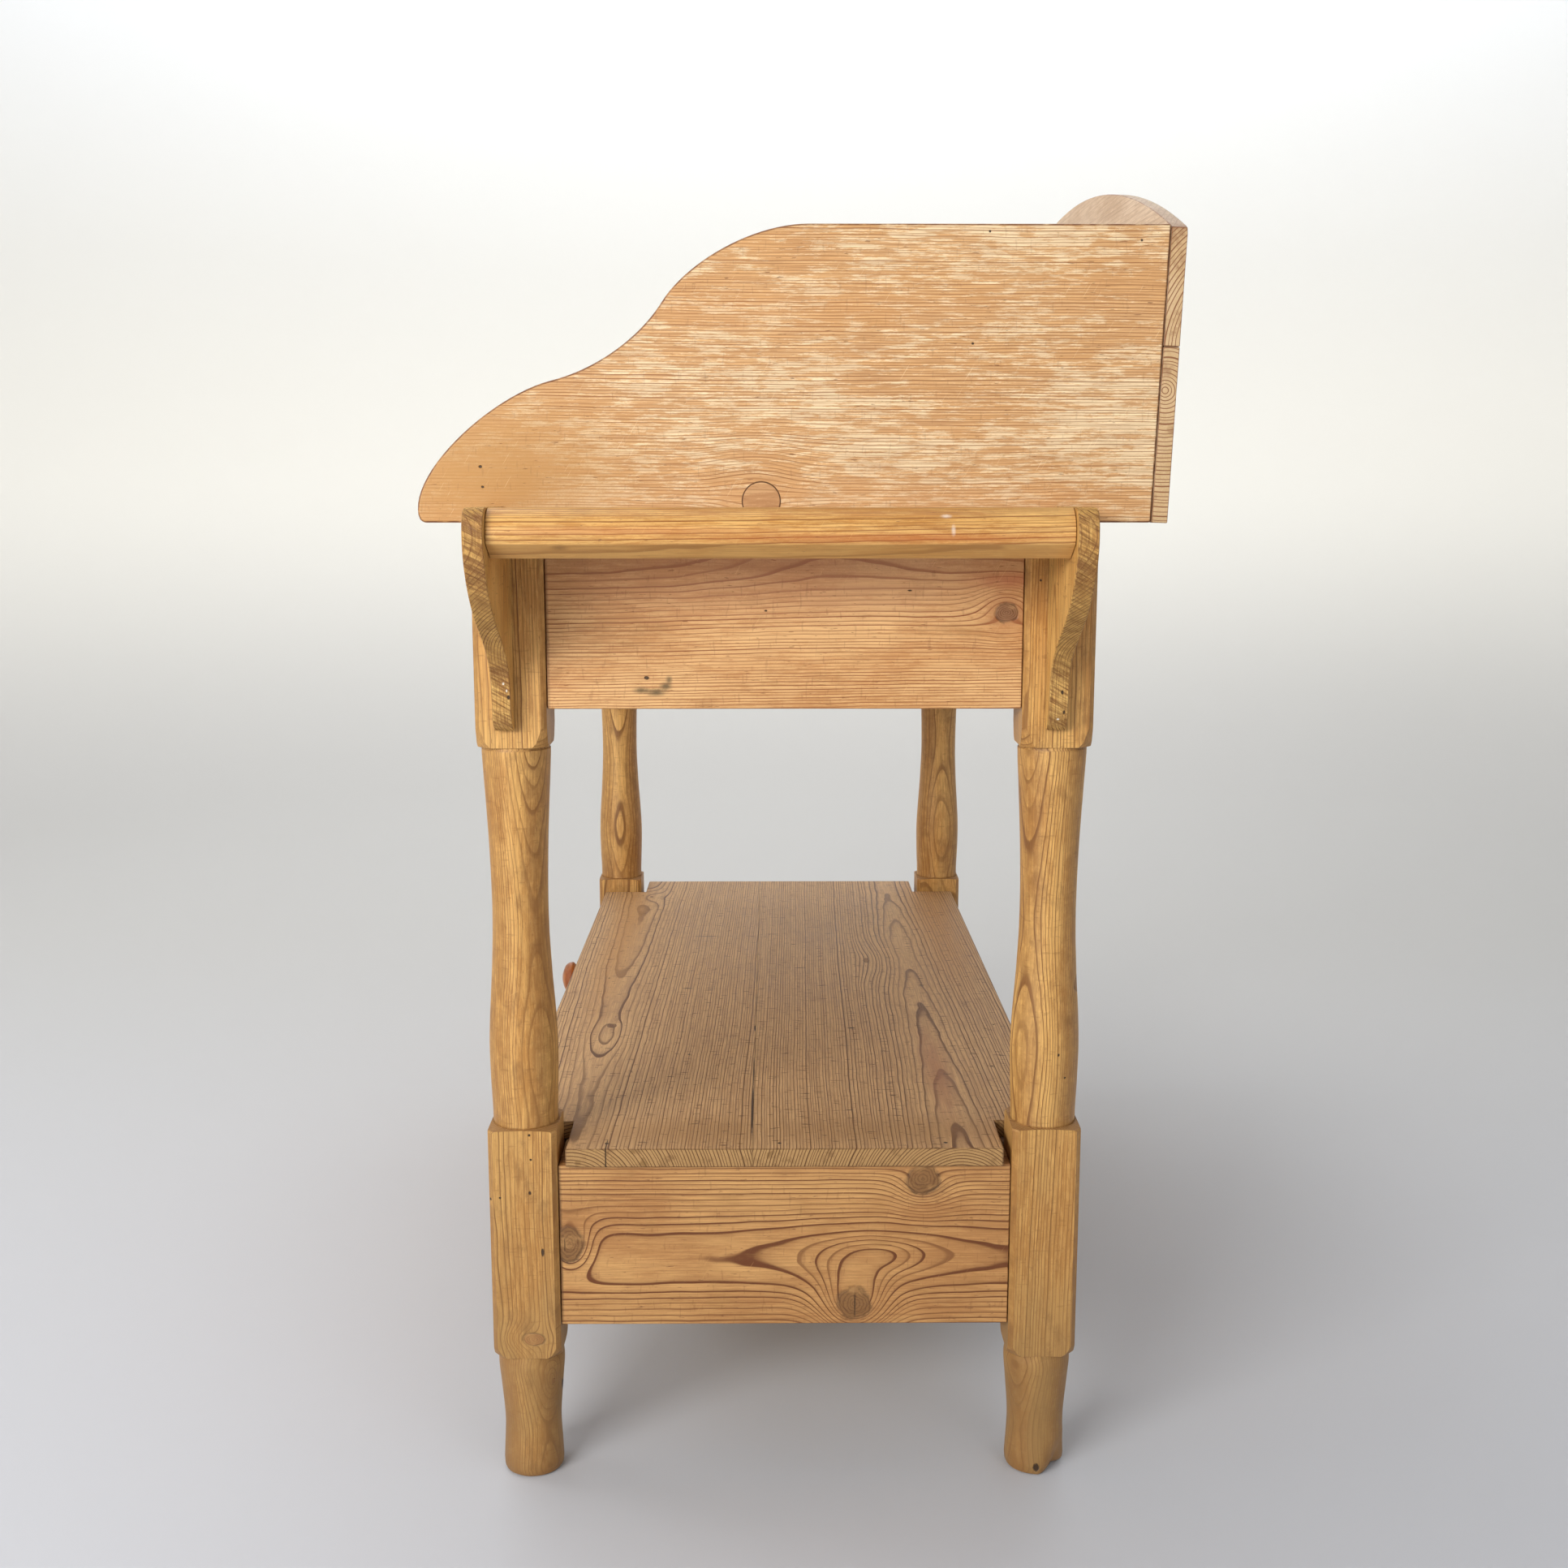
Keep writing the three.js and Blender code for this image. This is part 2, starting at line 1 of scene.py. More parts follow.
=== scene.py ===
# %% [markdown]
# # An old pine potting bench
# This lesson dresses a working CAD model in old, waxed pine. The model is already right in its
# sizes and its one motion, a drawer that slides out to the front, so nothing here is measured
# twice: every board asks the frame where it goes. Units are metres, +Z is up, +X runs along the
# bench to its right-hand end, and the drawer opens towards -Y.

# %% Load the frame
import json
import math
import bmesh
import bpy
from mathutils import Matrix, Vector, noise
from mathutils.geometry import interpolate_bezier


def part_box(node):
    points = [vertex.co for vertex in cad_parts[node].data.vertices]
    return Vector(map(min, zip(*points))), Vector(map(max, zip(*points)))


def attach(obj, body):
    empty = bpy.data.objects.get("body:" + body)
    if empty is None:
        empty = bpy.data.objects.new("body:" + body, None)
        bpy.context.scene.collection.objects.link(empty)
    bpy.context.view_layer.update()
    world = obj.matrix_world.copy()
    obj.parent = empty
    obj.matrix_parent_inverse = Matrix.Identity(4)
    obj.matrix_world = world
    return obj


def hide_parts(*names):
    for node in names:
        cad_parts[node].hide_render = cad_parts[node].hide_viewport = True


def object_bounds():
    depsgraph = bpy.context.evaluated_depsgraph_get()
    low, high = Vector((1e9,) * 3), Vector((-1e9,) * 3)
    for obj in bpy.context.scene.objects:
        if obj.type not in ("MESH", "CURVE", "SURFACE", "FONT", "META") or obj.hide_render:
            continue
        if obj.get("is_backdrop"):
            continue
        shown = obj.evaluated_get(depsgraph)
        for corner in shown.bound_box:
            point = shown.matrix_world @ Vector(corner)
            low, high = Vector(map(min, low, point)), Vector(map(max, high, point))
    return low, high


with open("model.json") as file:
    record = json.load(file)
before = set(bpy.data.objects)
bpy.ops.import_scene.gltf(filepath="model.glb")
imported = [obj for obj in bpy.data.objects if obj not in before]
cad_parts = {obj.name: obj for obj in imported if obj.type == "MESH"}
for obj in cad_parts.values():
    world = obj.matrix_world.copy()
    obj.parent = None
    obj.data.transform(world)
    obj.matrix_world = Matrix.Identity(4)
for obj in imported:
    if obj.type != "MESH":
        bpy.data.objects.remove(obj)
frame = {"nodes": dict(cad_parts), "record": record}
cad_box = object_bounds()
bodies = frame["record"]["behaviour"]["bodies"]
print("frame:", len(frame["nodes"]), "solids on", sorted(bodies))

# %% [markdown]
# ## The camera
# The bench is seen from its right-hand end, from a little above the worktop, with the lens
# pointing slightly down. A camera looks along its own -Z axis, so the aim is turned into a
# rotation with to_track_quat, which also keeps the picture level.

# %% Camera
CAMERA_PLACE = Vector((1.808, -0.0219, 0.8145))
CAMERA_PITCH = math.radians(9.577)
CAMERA_YAW = math.radians(0.428)
CAMERA_LENS = 39.32

camera_data = bpy.data.cameras.new("studio_camera")
camera_data.lens = CAMERA_LENS
camera_data.sensor_width = 36
camera = bpy.data.objects.new("studio_camera", camera_data)
aim = Vector((-math.cos(CAMERA_PITCH) * math.cos(CAMERA_YAW),
              math.cos(CAMERA_PITCH) * math.sin(CAMERA_YAW), -math.sin(CAMERA_PITCH)))
camera.location = CAMERA_PLACE
camera.rotation_euler = aim.to_track_quat("-Z", "Y").to_euler()
bpy.context.scene.collection.objects.link(camera)
bpy.context.scene.camera = camera
print("camera", [round(v, 3) for v in camera.location])

# %% [markdown]
# ## Small tools for writing nodes
# A material is a formula drawn as boxes and wires. Written out box by box it would be hard to
# read, so this class adds one box per call and returns its output. Any value may be a number
# or the output of another box, and then it is wired instead of typed in.


# %% Node helper
class Nodes:
    def __init__(self, tree):
        self.tree = tree

    def add(self, kind, **settings):
        node = self.tree.nodes.new(kind)
        for name, value in settings.items():
            setattr(node, name, value)
        return node

    def feed(self, socket, value):
        if isinstance(value, bpy.types.NodeSocket):
            self.tree.links.new(value, socket)
        else:
            socket.default_value = value

    def math(self, operation, *values, clamp=False):
        node = self.add("ShaderNodeMath", operation=operation, use_clamp=clamp)
        for socket, value in zip(node.inputs, values):
            self.feed(socket, value)
        return node.outputs[0]

    def vector(self, operation, *values):
        node = self.add("ShaderNodeVectorMath", operation=operation)
        for socket, value in zip(node.inputs, values):
            self.feed(socket, value)
        return node.outputs["Value" if operation in ("LENGTH", "DOT_PRODUCT") else "Vector"]

    def split(self, vector):
        node = self.add("ShaderNodeSeparateXYZ")
        self.feed(node.inputs[0], vector)
        return node.outputs[:]

    def join(self, x, y, z):
        node = self.add("ShaderNodeCombineXYZ")
        for socket, value in zip(node.inputs, (x, y, z)):
            self.feed(socket, value)
        return node.outputs[0]

    def noise(self, place, detail=2.0, roughness=0.5, scale=1.0):
        node = self.add("ShaderNodeTexNoise")
        self.feed(node.inputs["Vector"], place)
        for name, value in (("Scale", scale), ("Detail", detail), ("Roughness", roughness)):
            self.feed(node.inputs[name], value)
        return node.outputs[0]

    def between(self, value, low, high, to_low=0.0, to_high=1.0):
        node = self.add("ShaderNodeMapRange", interpolation_type="SMOOTHSTEP")
        for socket, number in zip(node.inputs, (value, low, high, to_low, to_high)):
            self.feed(socket, number)
        return node.outputs[0]

    def stretch(self, parts, lengthwise, crosswise, seed=0.0):
        """A place for noise, in cells per metre along the grain and across it."""
        along, across, through = parts
        return self.join(self.math("MULTIPLY_ADD", along, lengthwise, seed),
                         self.math("MULTIPLY", across, crosswise),
                         self.math("MULTIPLY", through, crosswise))

    def blend(self, amount, first, second):
        node = self.add("ShaderNodeMix", data_type="RGBA", blend_type="MIX")
        for index, value in ((0, amount), (6, first), (7, second)):
            self.feed(node.inputs[index], value)
        return node.outputs[2]

    def ramp(self, value, stops):
        node = self.add("ShaderNodeValToRGB")
        node.color_ramp.interpolation = "EASE"
        while len(node.color_ramp.elements) < len(stops):
            node.color_ramp.elements.new(0.5)
        for element, (place, level) in zip(node.color_ramp.elements, stops):
            element.position, element.color = place, (level, level, level, 1)
        self.feed(node.inputs[0], value)
        return node.outputs[0]

    def use(self, group, **inputs):
        node = self.add("ShaderNodeGroup", node_tree=group)
        for name, value in inputs.items():
            self.feed(node.inputs[name.replace("_", " ")], value)
        return node.outputs


def effect(name, inputs, outputs):
    """A node group with named sockets; each input is (name, kind, starting value)."""
    tree = bpy.data.node_groups.new(name, "ShaderNodeTree")
    for label, kind, start in inputs:
        socket = tree.interface.new_socket(label, in_out="INPUT", socket_type="NodeSocket" + kind)
        socket.default_value = start
    for label, kind in outputs:
        tree.interface.new_socket(label, in_out="OUTPUT", socket_type="NodeSocket" + kind)
    nodes = Nodes(tree)
    return tree, nodes, nodes.add("NodeGroupInput").outputs, nodes.add("NodeGroupOutput").inputs


def paint(red, green, blue):
    """A colour as a screen shows it (0 to 255), turned into the linear light that shaders use."""
    light = [((c / 255 + 0.055) / 1.055) ** 2.4 if c > 10 else c / 255 / 12.92
             for c in (red, green, blue)]
    return (*light, 1.0)


print("node helpers ready; pure white is", paint(255, 255, 255))


# %% [markdown]
# ## Growth rings
# Pine is a stack of cones round a pith: pale wood grows in spring, a hard dark line ends each
# summer. A board is a slice through that stack, so the right figure comes from a solid
# pattern. The distance from the pith, measured across the grain, is divided by the ring
# spacing, and the fraction that is left climbs slowly and drops at once, as a year does. Slow
# noise stretched along the grain makes the pith wander, which gives the arched figure.

# %% Effect: growth rings
QUIVER = 0.0011  # metres by which the finest noise moves a ring
YEAR_CURVE = [(0, 0), (0.45, 0.02), (0.7, 0.2), (0.85, 0.95), (0.94, 1), (1, 0)]
growth_rings, n, given, out = effect(
    "growth_rings",
    [("Place", "Vector", (0, 0, 0)), ("Lift", "Float", 0), ("Pith", "Vector", (0, 0, 0)),
     ("Spacing", "Float", 0.003), ("Wander", "Float", 0.01), ("Lean", "Float", 0.01),
     ("Seed", "Float", 0)],
    [("Late", "Float"), ("Tone", "Float")])
parts = n.split(n.vector("SUBTRACT", given["Place"], given["Pith"]))
along, across, through = parts
slow = n.add("ShaderNodeTexNoise")
n.feed(slow.inputs["Vector"], n.stretch(parts, 2.2, 6.0, given["Seed"]))
n.feed(slow.inputs["Scale"], 1.0)
n.feed(slow.inputs["Detail"], 1.5)
sway = n.vector("SCALE", n.vector("SUBTRACT", slow.outputs["Color"], (0.5, 0.5, 0.5)))
n.feed(sway.node.inputs["Scale"], given["Wander"])
sway_across, sway_through, sway_out = n.split(sway)
quick = n.noise(n.stretch(parts, 26.0, 60.0, given["Seed"]), detail=1)
side = n.math("ADD", across, sway_across)
depth = n.math("ADD", through, sway_through)
radius = n.math("SQRT", n.math("MULTIPLY_ADD", side, side, n.math("MULTIPLY", depth, depth)))
radius = n.math("ADD", n.math("ADD", radius, given["Lift"]),
                n.math("MULTIPLY_ADD", along, given["Lean"], sway_out))
radius = n.math("MULTIPLY_ADD", quick, QUIVER, radius)
years = n.math("DIVIDE", radius, given["Spacing"])
uneven = n.noise(n.join(n.math("MULTIPLY", years, 0.33), given["Seed"], 0.0), detail=1)
years = n.math("MULTIPLY_ADD", uneven, 2.0, years)
late = n.ramp(n.math("FRACT", years), YEAR_CURVE)
chance = n.add("ShaderNodeTexWhiteNoise", noise_dimensions="1D")
n.feed(chance.inputs["W"], n.math("ADD", n.math("FLOOR", years), given["Seed"]))
n.feed(out["Late"], n.math("MULTIPLY", late, n.math("MULTIPLY_ADD", chance.outputs["Value"], 0.55, 0.45)))
n.feed(out["Tone"], chance.outputs["Value"])
print("effect:", growth_rings.name)

# %% [markdown]
# ## Knots
# A knot is the root of a branch, so it crosses the board from face to face. The rings part and
# flow round it on both sides, like water round a post. The group therefore squeezes the place
# it is given towards the knot's own line, lifts the ring count near it, and also hands out
# masks for the heart, for the dark bark rim and for the fine rings inside. Groups are chained:
# each takes what the one before it gave.

# %% Effect: knot
EYE_RINGS = 30.0  # how closely the knot's own fine rings follow each other
knot_effect, n, given, out = effect(
    "knot",
    [("Spot", "Vector", (0, 0, 0)), ("Place", "Vector", (0, 0, 0)), ("Lift", "Float", 0),
     ("Heart", "Float", 0), ("Rim", "Float", 0), ("Eye", "Float", 0), ("Centre", "Vector", (0, 0, 0)),
     ("Radius", "Float", 0.01), ("Length", "Float", 1), ("Reach", "Float", 2), ("Push", "Float", 0),
     ("Part", "Float", 0.9)],
    [("Place", "Vector"), ("Lift", "Float"), ("Heart", "Float"), ("Rim", "Float"), ("Eye", "Float")])
along, across = n.split(n.vector("SUBTRACT", given["Spot"], given["Centre"]))[:2]
rough = n.noise(given["Spot"], scale=70.0, detail=4, roughness=0.6)
along = n.math("DIVIDE", along, given["Length"])
distance = n.math("SQRT", n.math("MULTIPLY_ADD", along, along, n.math("MULTIPLY", across, across)))
ragged = n.math("MULTIPLY_ADD", n.math("SUBTRACT", rough, 0.5), n.math("MULTIPLY", given["Radius"], 0.85),
                distance)
share = n.math("DIVIDE", distance, n.math("MULTIPLY", given["Radius"], given["Reach"]))
near = n.math("EXPONENT", n.math("MULTIPLY", n.math("MULTIPLY", share, share), -1.0))
parted = n.math("MULTIPLY", n.math("MULTIPLY", across, near), n.math("MULTIPLY", given["Part"], -1.0))
n.feed(out["Place"], n.vector("ADD", given["Place"], n.join(0.0, parted, 0.0)))
n.feed(out["Lift"], n.math("MULTIPLY_ADD", given["Push"], near, given["Lift"]))
relative = n.math("DIVIDE", ragged, given["Radius"])
n.feed(out["Heart"], n.math("MAXIMUM", given["Heart"], n.between(relative, 0.88, 1.02, 1.0, 0.0)))
rim = n.math("SUBTRACT", 1.0,
             n.math("ABSOLUTE", n.math("MULTIPLY", n.math("SUBTRACT", relative, 1.0), 6.0)), clamp=True)
broken = n.between(n.noise(given["Spot"], scale=150.0, detail=2), 0.35, 0.55, 0.45, 1.0)
n.feed(out["Rim"], n.math("MAXIMUM", given["Rim"], n.math("MULTIPLY", rim, broken)))
eye = n.math("SINE", n.math("MULTIPLY", relative, EYE_RINGS))
n.feed(out["Eye"],
       n.math("MAXIMUM", given["Eye"], n.math("MULTIPLY", eye, n.between(relative, 0.8, 1.0, 1.0, 0.0))))
print("effect:", knot_effect.name)

# %% [markdown]
# ## Fibres, patches and marks
# Up close a planed board shows threads of fibre a millimetre wide and a hand long. From across
# the room it shows patches, where the finish has soaked in or been rubbed away. Both are noise
# stretched along the grain. Small things that sit at one place, a nail hole or a dab of
# filler, are a soft disc whose size and place the material gives.

# %% Effect: fibres and patches
surface_effect, n, given, out = effect(
    "fibres_and_patches",
    [("Place", "Vector", (0, 0, 0)), ("Seed", "Float", 0), ("Level", "Float", 0)],
    [("Fibre", "Float"), ("Patch", "Float"), ("Cloud", "Float"), ("Fleck", "Float"), ("Stain", "Float"),
     ("Scratch", "Float")])
parts = n.split(given["Place"])
along, across, through = parts


def threads(length, width, detail, roughness=0.5, shift=0.0):
    """Noise whose cells are about so long and so wide, in metres."""
    seed = n.math("ADD", given["Seed"], shift)
    return n.noise(n.stretch(parts, 1 / length, 1 / width, seed), detail=detail, roughness=roughness)


fibre = threads(0.045, 0.0011, 4, 0.65)
cloud = threads(0.16, 0.06, 3, 0.55, 7.0)
patch = n.math("MULTIPLY_ADD", cloud, 0.4, threads(0.026, 0.0048, 8, 0.78, 3.0))
n.feed(out["Fibre"], fibre)
n.feed(out["Patch"],
       n.between(n.math("SUBTRACT", n.math("MULTIPLY_ADD", fibre, 0.12, patch), given["Level"]), 0.69,
                 0.79))
n.feed(out["Cloud"], n.between(cloud, 0.3, 0.7))
n.feed(out["Fleck"], n.between(threads(0.008, 0.0013, 2, 0.5, 11.0), 0.68, 0.76))
n.feed(out["Stain"], n.between(threads(0.035, 0.018, 7, 0.68, 17.0), 0.52, 0.7))
SLANT = 1.7  # scratches run askew, so that they never pass for grain
slanted = n.join(n.math("MULTIPLY", n.math("MULTIPLY_ADD", across, SLANT, along), 22.0),
                 n.math("MULTIPLY", n.math("MULTIPLY_ADD", along, -SLANT, across), 700.0),
                 n.math("MULTIPLY", through, 90.0))
n.feed(out["Scratch"], n.between(n.noise(slanted, detail=1), 0.72, 0.8))
print("effect:", surface_effect.name)

# %% Effect: mark
MARK_EDGE = 1.2  # where a mark ends, in shares of its size, once grit has been added
mark_effect, n, given, out = effect(
    "mark",
    [("Spot", "Vector", (0, 0, 0)), ("Marked", "Float", 0), ("Centre", "Vector", (0, 0, 0)),
     ("Size", "Vector", (0.002, 0.002, 1)), ("Soft", "Float", 0.2)],
    [("Marked", "Float")])
away = n.vector("DIVIDE", n.vector("SUBTRACT", given["Spot"], given["Centre"]), given["Size"])
grit = n.math("ADD", n.noise(given["Spot"], scale=900.0, detail=1),
              n.noise(given["Spot"], scale=110.0, detail=3))
ragged = n.math("MULTIPLY_ADD", grit, 0.4, n.vector("LENGTH", away))
inner = n.math("SUBTRACT", MARK_EDGE, given["Soft"])
outer = n.math("ADD", MARK_EDGE, given["Soft"])
n.feed(out["Marked"], n.math("MAXIMUM", given["Marked"], n.between(ragged, inner, outer, 1.0, 0.0)))
print("effect:", mark_effect.name)

# %% [markdown]
# ## Edges and end grain
# Hands and cloths round every arris and leave wax and dirt along it, so an arris is darker and
# redder than the face. Each piece has real rounded edges, and on them the surface points
# between two axes of its board, which is what this group looks for. Where the surface points
# along the grain, the cut shows end grain: darker, greyer and rougher.

# %% Effect: arris and end grain
edge_effect, n, given, out = effect(
    "arris_and_end_grain",
    [("Facing", "Vector", (0, 0, 1)), ("Place", "Vector", (0, 0, 0))],
    [("Arris", "Float"), ("End", "Float")])
along, across, through = n.split(n.vector("ABSOLUTE", given["Facing"]))
flat = n.math("MAXIMUM", along, n.math("MAXIMUM", across, through))
ragged = n.noise(given["Place"], scale=120.0, detail=3, roughness=0.6)
arris = n.between(n.math("SUBTRACT", 1.0, flat), 0.01, 0.12)
n.feed(out["Arris"], n.math("MULTIPLY", arris, n.between(ragged, 0.25, 0.6, 0.25, 1.0)))
n.feed(out["End"], n.between(along, 0.55, 0.85))
print("effect:", edge_effect.name)

# %% [markdown]
# ## One board's pine
# Every board gets its own material, because no two boards come from the same place in a tree.
# What differs is given as plain numbers: which way the grain runs, where the pith lies, how
# wide the rings are, which knots it has, and how pale or pink or rubbed it is. A Mapping node
# turns Object coordinates so that the grain always runs along the pattern's first axis.

# %% Board directions
# Each row is one axis of the board: along the grain, across the wide face, through the thickness.
FLAT_ALONG_X = Matrix(((1, 0, 0), (0, 1, 0), (0, 0, 1)))
UPRIGHT_ALONG_X = Matrix(((1, 0, 0), (0, 0, 1), (0, -1, 0)))
UPRIGHT_ALONG_Y = Matrix(((0, 1, 0), (0, 0, 1), (1, 0, 0)))
POST = Matrix(((0, 0, 1), (0, 1, 0), (-1, 0, 0)))
DARK_HOLE = paint(52, 34, 20)
KNOT_RING = paint(88, 54, 26)
FILLER = paint(236, 226, 208)


# %% The board's own directions
def board_axes(n, turn):
    """Where a point is and which way it faces, both along the grain, across it and through it."""
    normal = n.add("ShaderNodeNewGeometry").outputs["Normal"]
    places = (("POINT", n.add("ShaderNodeTexCoord").outputs["Object"]), ("VECTOR", normal))
    seen = []
    for kind, source in places:
        mapping = n.add("ShaderNodeMapping", vector_type=kind)
        mapping.inputs["Rotation"].default_value = turn.to_euler()
        n.feed(mapping.inputs["Vector"], source)
        seen.append(mapping.outputs[0])
    return (*seen, normal)


def bent_by_knots(n, spot, knots, swells):
    """Knots and swellings bend the rings before the rings are counted."""
    flow = {"Place": spot, "Lift": 0.0, "Heart": 0.0, "Rim": 0.0, "Eye": 0.0}
    for u, v, size, length, reach, push, part in knots:
        flow = n.use(knot_effect, Spot=spot, Centre=(u, v, 0), Radius=size, Length=length, Reach=reach,
                     Push=push, Part=part,
                     **{k: flow[k] for k in ("Place", "Lift", "Heart", "Rim", "Eye")})
    for u, v, size, length, push in swells:
        swollen = n.use(knot_effect, Spot=spot, Centre=(u, v, 0), Radius=size, Length=length, Reach=1.0,
                        Push=push, Part=0.0, Place=flow["Place"], Lift=flow["Lift"])
        flow = {**{k: flow[k] for k in ("Heart", "Rim", "Eye")}, "Place": swollen["Place"],
                "Lift": swollen["Lift"]}
    return flow


print("directions:", [list(m.to_euler()) for m in (UPRIGHT_ALONG_Y, POST)])

# %% Sheen and relief
BUMP_STRENGTH, BUMP_DEPTH, SPECULAR = 0.7, 0.0004, 0.42


def sheen_and_relief(n, shader, rings, skin, edges, sunk, roughness, relief):
    """Wax is smoother over hard lines and dull in patches; hard lines stand proud and marks sink."""
    dull = n.math("MULTIPLY_ADD", skin["Patch"], 0.07, roughness)
    dull = n.math("MULTIPLY_ADD", edges["End"], 0.2, dull)
    dull = n.math("MULTIPLY_ADD", rings["Late"], -0.06, dull)
    n.feed(shader.inputs["Roughness"], dull)
    height = n.math("MULTIPLY_ADD", rings["Late"], 0.35, n.math("MULTIPLY", skin["Fibre"], 0.5))
    height = n.math("MULTIPLY_ADD", skin["Fleck"], -0.6, height)
    for mask, depth in sunk:
        height = n.math("MULTIPLY_ADD", mask, depth, height)
    bump = n.add("ShaderNodeBump")
    bump.inputs["Strength"].default_value = BUMP_STRENGTH
    bump.inputs["Distance"].default_value = BUMP_DEPTH * relief
    n.feed(bump.inputs["Height"], height)
    n.feed(shader.inputs["Normal"], bump.outputs[0])
    shader.inputs["Specular IOR Level"].default_value = SPECULAR


print("relief is at most", BUMP_DEPTH / 0.001, "mm deep")

# %% [markdown]
# The colour is laid on in the order in which a board got it: its own pale and deep tones, the
# fibres and the dark summer lines, then stains, bands of painted shade, scratches and knots, then
# what the saw and the plane left, and last the dirt, the worn arrises, the nail holes and the
# filler. A knot is (along, across, size, length, reach, push, part), a swelling (along, across,
# size, length, push), a stain and a band of painted shade both (along, across, (size along, size
# across), amount, colour), and a hole or a dab of filler (along, across, (size along, size
# across)). All lengths are in metres.

# %% The pine builder
ANY_DEPTH = 9.0  # marks are this thick, so that depth never limits them
STAIN_AND_SHADE_EDGE = 0.75


def pine(name, turn, pale, deep, line, pith, spacing=0.003, wander=0.012, lean=0.02, contrast=0.6,
         seed=0.0, knots=(), swells=(), holes=(), filler=(), stains_and_shade=(), patch=0.5, patch_level=0.0,
         fibre=0.35, arris=0.55, arris_tone=paint(120, 66, 30), end_tone=paint(150, 112, 70),
         heart_tone=paint(158, 112, 64), stain=0.28, stain_tone=paint(150, 108, 58), grime=None, saw=0.0,
         planed=None, nicks=0.0, roughness=0.46, relief=1.0):
    material = bpy.data.materials.new(name)
    material.use_nodes = True
    material.node_tree.nodes.clear()
    n = Nodes(material.node_tree)
    shader = n.add("ShaderNodeBsdfPrincipled")
    n.feed(n.add("ShaderNodeOutputMaterial").inputs["Surface"], shader.outputs[0])
    spot, facing, normal = board_axes(n, turn)
    flow = bent_by_knots(n, spot, knots, swells)
    rings = n.use(growth_rings, Place=flow["Place"], Lift=flow["Lift"], Pith=(0, *pith), Spacing=spacing,
                  Wander=wander, Lean=lean, Seed=seed)
    skin = n.use(surface_effect, Place=spot, Seed=seed, Level=patch_level)
    edges = n.use(edge_effect, Facing=facing, Place=spot)
    parts = n.split(spot)

    def marked(u, v, size, **more):
        return n.use(mark_effect, Spot=spot, Centre=(u, v, 0), Size=(*size, ANY_DEPTH), **more)[0]

    # The board's own tones, its fibres and its summer lines.
    tone = n.math("ADD", n.math("MULTIPLY", skin["Patch"], patch),
                  n.math("MULTIPLY", skin["Cloud"], 1.0 - patch))
    tone = n.math("MULTIPLY_ADD", n.math("SUBTRACT", rings["Tone"], 0.5), 0.16, tone)
    colour = n.blend(tone, deep, pale)
    thread = n.math("MULTIPLY", n.between(skin["Fibre"], 0.32, 0.68, 1.0, 0.0), fibre)
    colour = n.blend(thread, colour, line)
    summer = n.math("MULTIPLY_ADD", skin["Fibre"], 0.9 * contrast, 0.5 * contrast)
    colour = n.blend(n.math("MULTIPLY", rings["Late"], summer), colour, line)
    # Stains and painted shade, scratches and small flaws.
    colour = n.blend(n.math("MULTIPLY", skin["Stain"], stain), colour, stain_tone)
    # Entries are stains and bands of painted shade, each laid on as a soft patch.
    for u, v, size, amount, tint in stains_and_shade:
        stain_and_shade_strength = n.math("MULTIPLY_ADD", skin["Fibre"], amount, amount * 0.5)
        colour = n.blend(n.math("MULTIPLY", marked(u, v, size, Soft=STAIN_AND_SHADE_EDGE), stain_and_shade_strength), colour, tint)
    colour = n.blend(n.math("MULTIPLY", skin["Scratch"], 0.3), colour, pale)
    colour = n.blend(n.math("MULTIPLY", skin["Fleck"], 0.6), colour, arris_tone)
    if nicks:
        cut = n.noise(n.stretch(parts, 420.0, 75.0, seed), detail=2)
        colour = n.blend(n.math("MULTIPLY", n.between(cut, 0.63, 0.70), nicks), colour, arris_tone)
    sunk = []
    if knots:
        inside = n.blend(n.between(flow["Eye"], -0.1, 0.7, 0.0, 0.7), heart_tone, KNOT_RING)
        inside = n.blend(n.math("MULTIPLY", skin["Stain"], 0.5), inside, pale)
        colour = n.blend(n.math("MULTIPLY", flow["Heart"], 0.86), colour, inside)
        bark = n.math("MULTIPLY_ADD", skin["Cloud"], 0.75, 0.25)
        colour = n.blend(n.math("MULTIPLY", flow["Rim"], bark), colour, DARK_HOLE)
        sunk.append((flow["Rim"], -1.2))
    # What the saw left on cut curves, and what a plane left on one side of a rail.
    if saw:
        u, v, w = parts
        strokes = n.noise(n.stretch((n.math("MULTIPLY_ADD", v, 0.55, u), v, w), 520.0, 40.0), detail=3,
                          roughness=0.6)
        sawn = n.between(n.math("ABSOLUTE", n.split(facing)[1]), 0.4, 0.8, 1.0, 0.0)
        strokes = n.math("MULTIPLY", n.between(strokes, 0.38, 0.66), n.math("MULTIPLY", sawn, saw))
        colour = n.blend(n.math("MULTIPLY", strokes, 0.75), colour, arris_tone)
        sunk.append((strokes, -1.6))
    if planed:
        direction, dull_tone, strength = planed
        bare = n.between(n.vector("DOT_PRODUCT", normal, direction), 0.8, 0.985)
        colour = n.blend(n.math("MULTIPLY", bare, strength), colour, dull_tone)
